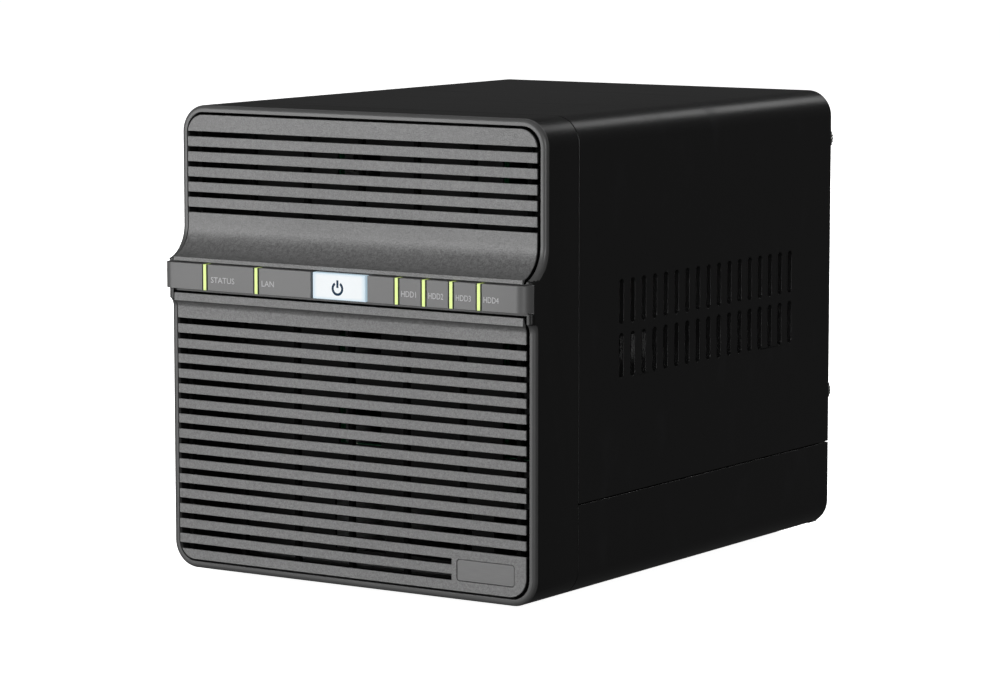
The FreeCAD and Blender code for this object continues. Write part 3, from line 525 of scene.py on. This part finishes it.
def behindFront(point):  # depth behind the stepped front, following its sweeps
    look = frontLook
    y, z = point[1], point[2]
    if z >= look["sweepHeight"]:
        return y - look["upperRim"]
    if z >= look["lipHeight"]:
        centre = look["upperRim"] - look["sweepRadius"]
        return math.hypot(y - centre, z - look["sweepHeight"]) - look["sweepRadius"]
    if z >= stripMiddle:
        return y - look["upperLip"]
    if z >= look["lowLipHeight"]:
        return y - look["lowerLip"]
    if z >= look["lowSweepHeight"]:
        centre = look["lowerRim"] - look["lowSweepRadius"]
        return math.hypot(y - centre, z - look["lowSweepHeight"]) - look["lowSweepRadius"]
    return y - look["lowerRim"]


def rimDepthLipShade(point):  # painted shade: the lips above and below the strip are coloured black like the sides, standing in for the shadow bands along the strip
    look = frontLook
    low = look["lowLipHeight"] - look["lipEdge"]
    high = look["lipHeight"] + look["lipEdge"]
    return look["lipDepth"] if low < point[2] < high else behindFront(point)


def makeFront():
    look = frontLook
    for name, node in (("upperPlate", "upper_faceplate"), ("lowerPlate", "lower_faceplate")):
        mesh = tidyMesh(name, node)
        markPoints(mesh, "depth", lambda point: behindFront(point) + look["proud"])
        plate = makeObject(name, mesh)
        addBevel(plate, look["plateEdge"])
        present(plate, "plate", "case", "front_grey", node)
    mesh = tidyMesh("frontFrame", "front_bezel")
    # the rim attribute also carries the painted shade on the lips beside the strip
    markPoints(mesh, "rim", rimDepthLipShade)
    rim = makeObject("frontFrame", mesh)
    addBevel(rim, look["rimEdge"], angle=40)
    present(rim, "rim", "case", "gloss_black", "front_bezel")
    tidyCopy("lightStrip", "indicator_strip", "strip", look["stripEdge"])
    tidyCopy("badgeBlank", "badge_plate", "badge", look["badgeEdge"])
    tidyCopy("powerKey", "power_button", "button", look["keyEdge"], 3)
    for node in nodes:
        if "light_pipe" in node:
            name = node.replace("_light_pipe", "Lamp").replace("_", "")
            lamp = tidyCopy(name, node, "lamp", look["lampEdge"])
            xs = [point.co.x for point in lamp.data.vertices]
            middle = (min(xs) + max(xs)) / 2
            half = (max(xs) - min(xs)) / 2
            markPoints(lamp.data, "across", lambda point: (point.x - middle) / half)


makeFront()
print("front dressed")

printLook = {
    "face": -115.95 * mm, "ink": 0.03 * mm, "height": 2.2 * mm, "centre": 118.2 * mm,
    "words": [("STATUS", -60.2, 11.2), ("LAN", -36.0, 5.8)],
    "driveLamps": [26.3, 38.5, 50.7, 62.95], "driveStep": 2.2, "driveWidth": 6.6,
    "iconCentre": (-0.6 * mm, 118.3 * mm), "iconRadius": 2.2 * mm, "iconStroke": 0.95 * mm,
    "iconOpening": 32, "iconSteps": 28, "iconBar": (0.3 * mm, 3.2 * mm),
}


def textMesh(words, width, height):  # flat letters, fitted to a width and height, upright
    text = bpy.data.curves.new(words, "FONT")
    text.body = words
    text.resolution_u = 3
    holder = makeObject(words, text)
    seen = bpy.context.evaluated_depsgraph_get()
    mesh = bpy.data.meshes.new_from_object(holder.evaluated_get(seen), depsgraph=seen)
    bpy.data.objects.remove(holder)
    xs = [point.co.x for point in mesh.vertices]
    ys = [point.co.y for point in mesh.vertices]
    mesh.transform(Matrix.Translation((-min(xs), -(min(ys) + max(ys)) / 2, 0)))
    mesh.transform(Matrix.Diagonal((width / (max(xs) - min(xs)), height / (max(ys) - min(ys)), 1, 1)))
    mesh.transform(Matrix.Rotation(math.radians(90), 4, "X"))
    return mesh


def joinMeshes(name, meshes):
    work = bmesh.new()
    for mesh in meshes:
        work.from_mesh(mesh)
    joined = bpy.data.meshes.new(name)
    work.to_mesh(joined)
    work.free()
    return joined


def arcBand(radius, stroke, start, end, steps):  # a flat band round an arc, in x and z
    points = []
    faces = []
    for step in range(steps + 1):
        turn = math.radians(start + (end - start) * step / steps)
        for reach in (radius - stroke / 2, radius + stroke / 2):
            points.append((math.sin(turn) * reach, 0, math.cos(turn) * reach))
        if step:
            low = step * 2
            faces.append((low - 2, low, low + 1, low - 1))
    return points, faces


def makePrint():
    look = printLook
    words = [(text, left * mm, width * mm) for text, left, width in look["words"]]
    for index, lamp in enumerate(look["driveLamps"]):
        left = (lamp + look["driveStep"]) * mm
        words.append(("HDD" + str(index + 1), left, look["driveWidth"] * mm))
    marks = []
    for text, left, width in words:
        mesh = textMesh(text, width, look["height"])
        mesh.transform(Matrix.Translation((left, look["face"], look["centre"])))
        marks.append(mesh)
    labels = makeObject("stripLabels", joinMeshes("stripLabels", marks))
    addStep(labels, "SOLIDIFY", thickness=look["ink"], offset=1.0)
    present(labels, "label", "case", "strip_grey")
    opening = look["iconOpening"]
    radius = look["iconRadius"]
    points, faces = arcBand(radius, look["iconStroke"], opening, 360 - opening, look["iconSteps"])
    half = look["iconStroke"] / 2
    base = len(points)
    low, high = look["iconBar"]
    points += [(-half, 0, low), (half, 0, low), (half, 0, high), (-half, 0, high)]
    faces.append((base, base + 1, base + 2, base + 3))
    mesh = meshFrom("powerMark", points, faces)
    across, up = look["iconCentre"]
    mesh.transform(Matrix.Translation((across, look["face"], up)))
    icon = makeObject("powerMark", mesh)
    addStep(icon, "SOLIDIFY", thickness=look["ink"], offset=1.0)
    present(icon, "icon", "power_button", "button_white")


makePrint()
print("printed marks made")

shellLook = {
    "edge": 0.3 * mm, "sheetEdge": 0.2 * mm, "mouldEdge": 0.28 * mm, "thumbEdge": 0.14 * mm,
    "headFace": 115.5 * mm, "headExtra": 5.2 * mm,
}


def makeShells():
    look = shellLook
    for name, node in (("topCover", "upper_cover"), ("lowerShell", "base_shell")):
        tidyCopy(name, node, "case", look["edge"])
    tidyCopy("rearDoor", "back_door", "door", look["edge"])
    tidyCopy("portPlate", "connector_panel", "door", look["sheetEdge"])
    for place in ("lower", "upper"):
        tidyCopy(place + "FanFrame", "fan_frame_" + place, "fan", look["mouldEdge"])
    for number in "1234":
        tidyCopy("driveTray" + number, "drive_tray_" + number, "tray", look["mouldEdge"])
        tidyCopy("trayHandle" + number, "tray_handle_" + number, "handle", look["mouldEdge"])
        thumb = tidyCopy("thumbScrew" + number, "thumbscrew_" + number, "thumb", look["thumbEdge"])
        for point in thumb.data.vertices:  # the heads stand a little further out
            if point.co.y > look["headFace"]:
                point.co.y += look["headExtra"]


makeShells()
print("shells, trays and door dressed")


def turned(name, outline, steps, width=0.0):  # an outline in millimetres, spun about z
    points = [(radius * mm, 0, height * mm) for radius, height in outline]
    mesh = bpy.data.meshes.new(name)
    mesh.from_pydata(points, [(index, index + 1) for index in range(len(points) - 1)], [])
    piece = makeObject(name, mesh)
    addStep(piece, "SCREW", angle=2 * math.pi, steps=steps, render_steps=steps, axis="Z",
            use_merge_vertices=True, merge_threshold=mergeReach, use_smooth_shade=True)
    if width:
        addBevel(piece, width * mm)
    return piece


def copiesAt(name, source, places):  # one mesh out of a finished piece set at several places
    meshes = []
    for place in places:
        mesh = source.data.copy()
        mesh.transform(place)
        meshes.append(mesh)
    joined = makeObject(name, joinMeshes(name, meshes))
    bpy.data.objects.remove(source)
    return joined


footLook = {
    "outline": [(0, 4), (7, 4), (7, 1.3), (6.65, 0.4), (5.9, 0), (3.3, 0), (3.0, 0.6), (0, 0.6)],
    "places": [(-48, -66), (48, -66), (-48, 92), (48, 92)], "steps": 40, "edge": 0.15,
}


def makeFeet():
    look = footLook
    foot = settle(turned("footPad", look["outline"], look["steps"], look["edge"]))
    spots = [Matrix.Translation((x * mm, y * mm, 0)) for x, y in look["places"]]
    present(copiesAt("rubberFeet", foot, spots), "rubber", "case", "foot_rubber", "feet")


fanLook = {
    "centres": {"lower": 53.0, "upper": 136.0}, "across": 21.0, "middle": 95.5, "blades": 7,
    "cup": [(0, -7), (14.5, -7), (14.5, 9), (17, 9), (17, -9), (16.2, -9.5), (0, -9.5)],
    "cupSteps": 56, "cupEdge": 0.4, "shaft": [(0, 11), (1.5, 11), (1.5, -8), (0, -8)], "shaftSteps": 16,
    "stations": [16.4, 21.0, 26.0, 31.0, 36.2], "depth": [8.3, 8.3, 8.1, 7.7, 7.0],
    "sweep": [5.4, 6.3, 7.3, 8.3, 9.2], "camber": [0.9, 1.3, 1.6, 1.8, 1.9],
    "lean": [0.0, 0.4, 1.2, 2.4, 4.0], "columns": 5, "thick": 1.3,
    "sticker": [(0, 0.05), (14.6, 0.05), (14.6, -0.3), (0, -0.3)], "stickerSteps": 48, "stickerFace": 109.0,
}


def bladeCage():  # one blade, a curved sheet from the hub to the tip
    look = fanLook
    points = []
    faces = []
    across = look["columns"]
    for row, radius in enumerate(look["stations"]):
        for column in range(across):
            share = column / (across - 1) * 2 - 1
            bow = look["camber"][row] * (1 - share * share)
            turn = (-look["sweep"][row] * share + bow + look["lean"][row]) / radius
            height = look["depth"][row] * share
            points.append((radius * math.cos(turn) * mm, radius * math.sin(turn) * mm, height * mm))
    for row in range(len(look["stations"]) - 1):
        for column in range(across - 1):
            low = row * across + column
            faces.append((low, low + across, low + across + 1, low + 1))
    return meshFrom("bladeCage", points, faces)


def makeFans():
    look = fanLook
    facing = Matrix.Rotation(math.radians(-90), 4, "X")  # z turns to y
    for side, height in look["centres"].items():
        place = Matrix.Translation((look["across"] * mm, look["middle"] * mm, height * mm)) @ facing
        hub = settle(turned("fanHub", look["cup"], look["cupSteps"], look["cupEdge"]))
        shaft = settle(turned("fanShaft", look["shaft"], look["shaftSteps"]))
        blades = []
        for index in range(look["blades"]):
            blade = bladeCage()
            blade.transform(Matrix.Rotation(2 * math.pi * index / look["blades"], 4, "Z"))
            blades.append(blade)
        vanes = makeObject("fanBlades", joinMeshes("fanBlades", blades))
        addStep(vanes, "SOLIDIFY", thickness=look["thick"] * mm, offset=0.0)
        addStep(vanes, "SUBSURF", levels=1, render_levels=1)
        settle(vanes)
        smoothAll(vanes.data)
        joined = joinMeshes(side + "Rotor", [hub.data, shaft.data, vanes.data])
        whole = makeObject(side + "Rotor", joined)
        whole.data.transform(place)
        for spare in (hub, shaft, vanes):
            bpy.data.objects.remove(spare)
        present(whole, "rotor", "fan_rotor_" + side, "rotor_black", "fan_rotor_" + side)
        sticker = turned(side + "FanLabel", look["sticker"], look["stickerSteps"])
        centre = (look["across"] * mm, look["stickerFace"] * mm, height * mm)
        settle(sticker, Matrix.Translation(centre) @ facing)
        present(sticker, "foil", "back_door", "screw_steel")


makeFeet()
makeFans()
print("feet and fans made")


def tubeMesh(name, paths, radius, around=1):  # round wires along paths in millimetres
    wire = bpy.data.curves.new(name, "CURVE")
    wire.dimensions = "3D"
    wire.bevel_depth = radius
    wire.bevel_resolution = around
    wire.use_fill_caps = True
    for path in paths:
        run = wire.splines.new("POLY")
        run.points.add(len(path) - 1)
        for point, (x, y, z) in zip(run.points, path):
            point.co = (x * mm, y * mm, z * mm, 1)
    holder = makeObject(name, wire)
    seen = bpy.context.evaluated_depsgraph_get()
    mesh = bpy.data.meshes.new_from_object(holder.evaluated_get(seen), depsgraph=seen)
    bpy.data.objects.remove(holder)
    return mesh


portLook = {
    "face": 110.8 * mm, "height": 2.1 * mm, "ink": 0.03 * mm,
    "words": [("LAN", -47.0, 50.0, 5.4), ("USB", -52.0, 76.0, 5.4), ("USB", -52.0, 94.0, 5.4),
              ("RESET", -57.0, 112.0, 8.4), ("DC 12V", -47.0, 23.0, 9.6)],
    "jackHeight": 50.0, "wirePitch": 1.02, "wires": 8, "wireRadius": 0.2 * mm,
    "wirePath": [(-62.9, 99.4), (-63.6, 101.0), (-66.2, 107.6), (-65.6, 108.6), (-63.4, 109.2)],
    "lampX": (-73.9, -72.5), "lampY": (110.9, 111.55), "lampsAt": [44.6, 55.4], "lampHalf": 1.3,
    "usbHeights": [76.0, 94.0], "tongueX": (-72.64, -70.66), "tongueY": (99.2, 110.06), "tongueHalf": 5.46,
    "contactX": (-70.7, -70.52), "contactY": (101.0, 109.3), "contactsAt": [-3.5, -1.05, 1.05, 3.5],
    "contactHalf": 0.5, "lampEdge": 0.2, "tongueEdge": 0.25, "contactEdge": 0.05,
    "pinTurns": [45, 135, 225, 315], "pinRing": 2.6, "pinSteps": 16, "inlet": (-67.2, 99.5, 23.0),
    "pinOutline": [(0, 8.5), (0.4, 8.5), (0.64, 8.1), (0.64, 0), (0, 0)],
}


def blockCage(x, y, z):  # the points and faces of a box, in millimetres
    points = [(a * mm, b * mm, c * mm) for a in x for b in y for c in z]
    faces = [(0, 1, 3, 2), (4, 6, 7, 5), (0, 4, 5, 1), (2, 3, 7, 6), (0, 2, 6, 4), (1, 5, 7, 3)]
    return points, faces


def blocksMesh(name, blocks):
    points = []
    faces = []
    for x, y, z in blocks:
        more, sides = blockCage(x, y, z)
        faces += [tuple(corner + len(points) for corner in side) for side in sides]
        points += more
    mesh = meshFrom(name, points, faces)
    smoothAll(mesh)
    return mesh


def spread(centre, half):
    return centre - half, centre + half


def makeBlocks(name, blocks, width, finish, body, slotName):
    piece = makeObject(name, blocksMesh(name, blocks))
    addBevel(piece, width * mm)
    return present(piece, finish, body, slotName)


def makePorts():
    look = portLook
    turnRound = Matrix.Rotation(math.pi, 4, "Z")
    marks = []
    for text, left, height, width in look["words"]:
        mesh = textMesh(text, width * mm, look["height"])
        mesh.transform(Matrix.Translation((left * mm, look["face"], height * mm)) @ turnRound)
        marks.append(mesh)
    labels = makeObject("portLabels", joinMeshes("portLabels", marks))
    addStep(labels, "SOLIDIFY", thickness=look["ink"], offset=1.0)
    present(labels, "label", "case", "strip_grey")
    low = look["jackHeight"] - look["wirePitch"] * (look["wires"] - 1) / 2
    path = [(x, y, low) for x, y in look["wirePath"]]
    wires = makeObject("jackWires", tubeMesh("jackWires", [path], look["wireRadius"]))
    addStep(wires, "ARRAY", count=look["wires"], use_relative_offset=False, use_constant_offset=True,
            constant_offset_displace=(0, 0, look["wirePitch"] * mm))
    present(wires, "gold", "case", "socket_metal")
    windows = []
    for height in look["lampsAt"]:
        windows.append((look["lampX"], look["lampY"], spread(height, look["lampHalf"])))
    makeBlocks("jackLamps", windows, look["lampEdge"], "amber", "case", "socket_metal")
    tongues = []
    strips = []
    for height in look["usbHeights"]:
        tongues.append((look["tongueX"], look["tongueY"], spread(height, look["tongueHalf"])))
        for aside in look["contactsAt"]:
            span = spread(height + aside, look["contactHalf"])
            strips.append((look["contactX"], look["contactY"], span))
    makeBlocks("usbTongues", tongues, look["tongueEdge"], "tongue", "case", "socket_black")
    makeBlocks("usbContacts", strips, look["contactEdge"], "gold", "case", "socket_metal")
    pin = settle(turned("inletPin", look["pinOutline"], look["pinSteps"]))
    facing = Matrix.Rotation(-math.pi / 2, 4, "X")
    x, y, z = look["inlet"]
    spots = []
    for turn in look["pinTurns"]:
        aside = look["pinRing"] * math.cos(math.radians(turn))
        up = look["pinRing"] * math.sin(math.radians(turn))
        spots.append(Matrix.Translation(((x + aside) * mm, y * mm, (z + up) * mm)) @ facing)
    present(copiesAt("inletPins", pin, spots), "gold", "case", "socket_metal")


makePorts()
print("ports made")

bayLook = {
    "floors": [42.5, 76.0, 109.5, 143.0], "pitch": 33.5 * mm, "contactPitch": 1.27 * mm,
    "powerRow": (3.6, 15), "dataRow": (27.6, 7), "contactWidth": 0.6, "contactY": (-73.9, -69.5),
    "contactRise": 5.6, "contactTall": 0.35,
    "digitWidth": 1.9 * mm, "digitHeight": 3.2 * mm, "ink": 0.03 * mm,
    "digitLeft": 66.0, "digitFace": 82.75, "digitRise": 21.6,
    "ribX": (-1, 43), "ribY": (83.5, 83.7), "ribRises": [17.3, 17.9, 18.5], "ribTall": 0.25,
    "ribEdge": 0.06,
    "grommet": [(3.1, 0.9), (3.5, 0.55), (3.5, 0.15), (3.1, 0.0), (2.0, 0.0), (2.0, 0.9), (3.1, 0.9)],
    "holes": [(-26.625, -27.6), (68.625, -27.6), (-26.625, 16.85), (68.625, 16.85)],
    "grommetSteps": 20, "grommetRise": 1.5,
}


def makeBays():
    look = bayLook
    low = look["floors"][0] + look["contactRise"]
    tall = (low, low + look["contactTall"])
    for name, (start, count) in (("powerContacts", look["powerRow"]), ("dataContacts", look["dataRow"])):
        block = ((start, start + look["contactWidth"]), look["contactY"], tall)
        strip = makeObject(name, blocksMesh(name, [block]))
        addStep(strip, "ARRAY", count=count, use_relative_offset=False, use_constant_offset=True,
                constant_offset_displace=(look["contactPitch"], 0, 0))
        addStep(strip, "ARRAY", count=len(look["floors"]), use_relative_offset=False,
                use_constant_offset=True, constant_offset_displace=(0, 0, look["pitch"]))
        present(strip, "gold", "case", "socket_metal")
    turnRound = Matrix.Rotation(math.pi, 4, "Z")
    for index, floor in enumerate(look["floors"]):
        number = str(index + 1)
        body = "tray_" + number
        mesh = textMesh(number, look["digitWidth"], look["digitHeight"])
        spot = (look["digitLeft"] * mm, look["digitFace"] * mm, (floor + look["digitRise"]) * mm)
        mesh.transform(Matrix.Translation(spot) @ turnRound)
        digit = makeObject("bayNumber" + number, mesh)
        addStep(digit, "SOLIDIFY", thickness=look["ink"], offset=1.0)
        present(digit, "label", body, "handle_plastic")
        ribs = []
        for rise in look["ribRises"]:
            ribs.append((look["ribX"], look["ribY"], (floor + rise, floor + rise + look["ribTall"])))
        makeBlocks("gripRibs" + number, ribs, look["ribEdge"], "handle", body, "handle_plastic")
        ring = settle(turned("grommet", look["grommet"], look["grommetSteps"]))
        height = (floor + look["grommetRise"]) * mm
        spots = [Matrix.Translation((x * mm, y * mm, height)) for x, y in look["holes"]]
        present(copiesAt("grommets" + number, ring, spots), "rubber", body, "foot_rubber")


makeBays()
print("bays made")

boardPartLook = {
    "face": -74.4,
    "capOutline": [(0, 8.0), (2.1, 8.0), (2.3, 7.8), (2.9, 8.1), (3.15, 7.8), (3.15, 1.5),
                   (2.95, 1.2), (3.15, 0.9), (3.15, 0), (0, 0)],
    "caps": [(46, 30), (46, 39), (82, 34), (82, 44), (72, 52), (54, 130), (64, 130)], "capSteps": 24,
    "cell": [(0, 3.2), (9.4, 3.2), (10, 2.9), (10, 0.4), (9.6, 0), (0, 0)], "cellSteps": 40,
    "cellAt": (76, 132), "chipX": (0.15, 1.35), "chipEdge": 0.25,
    "chips": [(20, 22, 12, 12), (-6, 36, 10, 14), (84, 66, 9, 6), (12, 122, 14, 10), (34, 128, 6, 8)],
    "legPitch": 1.27, "legSpare": 0.8, "legStart": 0.7, "legWidth": 0.5, "legTall": 0.35,
    "legLength": 1.0, "legUnder": 0.1,
    "chokes": [(-20, 106), (-8, 106)], "chokeHalf": 3.4, "chokeTall": 3.4,
}


def makeBoardParts():
    look = boardPartLook
    face = look["face"]
    flat = Matrix.Rotation(math.pi / 2, 4, "Y")  # z turns to x
    cap = settle(turned("capacitor", look["capOutline"], look["capSteps"]))
    spots = [Matrix.Translation((face * mm, y * mm, z * mm)) @ flat for y, z in look["caps"]]
    present(copiesAt("boardCaps", cap, spots), "capCan", "case", "socket_metal")
    cell = turned("coinCell", look["cell"], look["cellSteps"])
    y, z = look["cellAt"]
    settle(cell, Matrix.Translation((face * mm, y * mm, z * mm)) @ flat)
    present(cell, "nickel", "case", "socket_metal")
    bodies = []
    legs = []
    low, high = look["chipX"]
    under = look["legUnder"]
    for y, z, wide, tall in look["chips"]:
        bodies.append(((face + low, face + high), (y, y + wide), (z, z + tall)))
        for index in range(int((wide - look["legSpare"]) / look["legPitch"])):
            start = y + look["legStart"] + index * look["legPitch"]
            for edge in (z + under - look["legLength"], z + tall - under):
                legs.append(((face, face + look["legTall"]), (start, start + look["legWidth"]),
                             (edge, edge + look["legLength"])))
    half = look["chokeHalf"]
    for y, z in look["chokes"]:
        bodies.append(((face, face + look["chokeTall"]), spread(y, half), spread(z, half)))
    makeBlocks("boardChips", bodies, look["chipEdge"], "chip", "case", "socket_black")
    present(makeObject("chipLegs", blocksMesh("chipLegs", legs)), "screw", "case", "socket_metal")


makeBoardParts()
print("board parts made")

# the front bulkhead gets the near-black painted-shade finish
nodeFinish = {
    "front_bulkhead": "screen", "cage_left_wall": "zinc", "cage_right_wall": "zinc",
    "cage_floor": "zinc", "cage_top": "zinc",
    "drive_backplane": "board", "drive_sockets": "socket", "hinge_pin": "screw", "fan_screws": "blackScrew",
    "panel_screws": "screw", "main_board": "board", "board_screws": "screw",
    "heat_sink": "sink", "network_jack": "nickel", "usb_socket_lower": "nickel",
    "usb_socket_upper": "nickel", "power_inlet": "socket", "reset_button": "resetKey",
    "reset_switch": "socket", "light_board": "board",
    "power_switch": "socket", "flat_cable": "ribbon",
}
for name, node in nodes.items():
    for place in node.material_slots:
        place.material = finishes[nodeFinish.get(name, "case")]
print("CAD pieces dressed")


studio = {
    "azimuth": 33.285, "elevation": 7.104, "distance": 1.5763, "aim": (-0.0015, -0.0035, 0.0834),
    "lens": 141.9, "sensor": 36.0, "lightsAim": (0, 0, 0.1), "air": 0.06,
    "floor": 0.86, "glow": 0.95, "floorRadius": 5.0, "curve": 1.0, "curveSteps": 8, "wall": 3.0,
    "steps": 64,
}


def makeStage():  # a pale floor that sweeps up all round
    sheet = Finish("stagePale")
    at = sheet.place()
    cloud = sheet.noise(at, 0.6, 2.0)
    colour = sheet.blend(cloud, grey(studio["floor"] * 0.985), grey(studio["floor"]))
    sheet.surface(**{"Base Color": colour, "Roughness": 0.9, "Emission Color": (1, 1, 1, 1),
                     "Emission Strength": studio["glow"]})
    mesh = bpy.data.meshes.new("studioFloor")
    work = bmesh.new()
    outline = [(0.001, 0.0), (studio["floorRadius"], 0.0)]
    curve = studio["curve"]
    for step in range(1, studio["curveSteps"] + 1):
        turn = math.radians(90 * step / studio["curveSteps"])
        outline.append((studio["floorRadius"] + math.sin(turn) * curve, (1 - math.cos(turn)) * curve))
    outline.append((studio["floorRadius"] + curve, studio["wall"]))
    points = [work.verts.new((radius, 0, height)) for radius, height in outline]
    for first, second in zip(points, points[1:]):
        work.edges.new((first, second))
    bmesh.ops.spin(work, geom=work.verts[:] + work.edges[:], axis=(0, 0, 1), cent=(0, 0, 0),
                   steps=studio["steps"], angle=2 * math.pi)
    bmesh.ops.remove_doubles(work, verts=work.verts, dist=0.0005)
    for face in work.faces:
        face.smooth = True
    work.to_mesh(mesh)
    work.free()
    mesh.materials.append(sheet.material)
    floor = bpy.data.objects.new("studioFloor", mesh)
    collection.objects.link(floor)
    floor.visible_glossy = False
    floor.visible_diffuse = False
    floor.visible_shadow = False


softboxes = [  # name, place, size, power, and whether it shows in shiny surfaces
    ("frontLight", (-1.45, -2.2, 0.3), (1.2, 1.2), 36, True),
    ("keyLight", (-0.7, -2.1, 1.7), (1.0, 1.0), 16, False),
    ("sideLight", (1.9, -2.1, 0.6), (0.5, 0.9), 26, True),
    ("topLight", (0.2, 0.4, 2.4), (1.4, 1.4), 10, False),
    ("rearLight", (0.2, 2.2, 1.5), (1.4, 0.9), 90, False),
    ("edgeLight", (0.3, 2.2, 1.4), (0.6, 0.6), 2.6, True),
]


def addSoftbox(name, place, size, power, shiny):
    lamp = bpy.data.lights.new(name, "AREA")
    lamp.shape = "RECTANGLE"
    lamp.size = size[0]
    lamp.size_y = size[1]
    lamp.energy = power
    box = bpy.data.objects.new(name, lamp)
    collection.objects.link(box)
    box.location = place
    towards = Vector(studio["lightsAim"]) - Vector(place)
    box.rotation_euler = towards.to_track_quat("-Z", "Y").to_euler()
    box.visible_camera = False
    box.visible_glossy = shiny


def makeCamera():
    turn = math.radians(studio["azimuth"])
    rise = math.radians(studio["elevation"])
    flat = math.cos(rise)
    back = Vector((math.sin(turn) * flat, -math.cos(turn) * flat, math.sin(rise)))
    lens = bpy.data.cameras.new("camera")
    lens.lens = studio["lens"]
    lens.sensor_width = studio["sensor"]
    camera = bpy.data.objects.new("camera", lens)
    collection.objects.link(camera)
    camera.location = Vector(studio["aim"]) + back * studio["distance"]
    camera.rotation_euler = (-back).to_track_quat("-Z", "Y").to_euler()
    bpy.context.scene.camera = camera


def makeWorld():
    world = bpy.data.worlds.new("studioAir")
    bpy.context.scene.world = world
    world.use_nodes = True
    background = world.node_tree.nodes["Background"]
    background.inputs["Color"].default_value = (1, 1, 1, 1)
    background.inputs["Strength"].default_value = studio["air"]


makeStage()
makeCamera()
makeWorld()
for softbox in softboxes:
    addSoftbox(*softbox)
bpy.context.scene.view_settings.view_transform = "Standard"
print("studio ready")
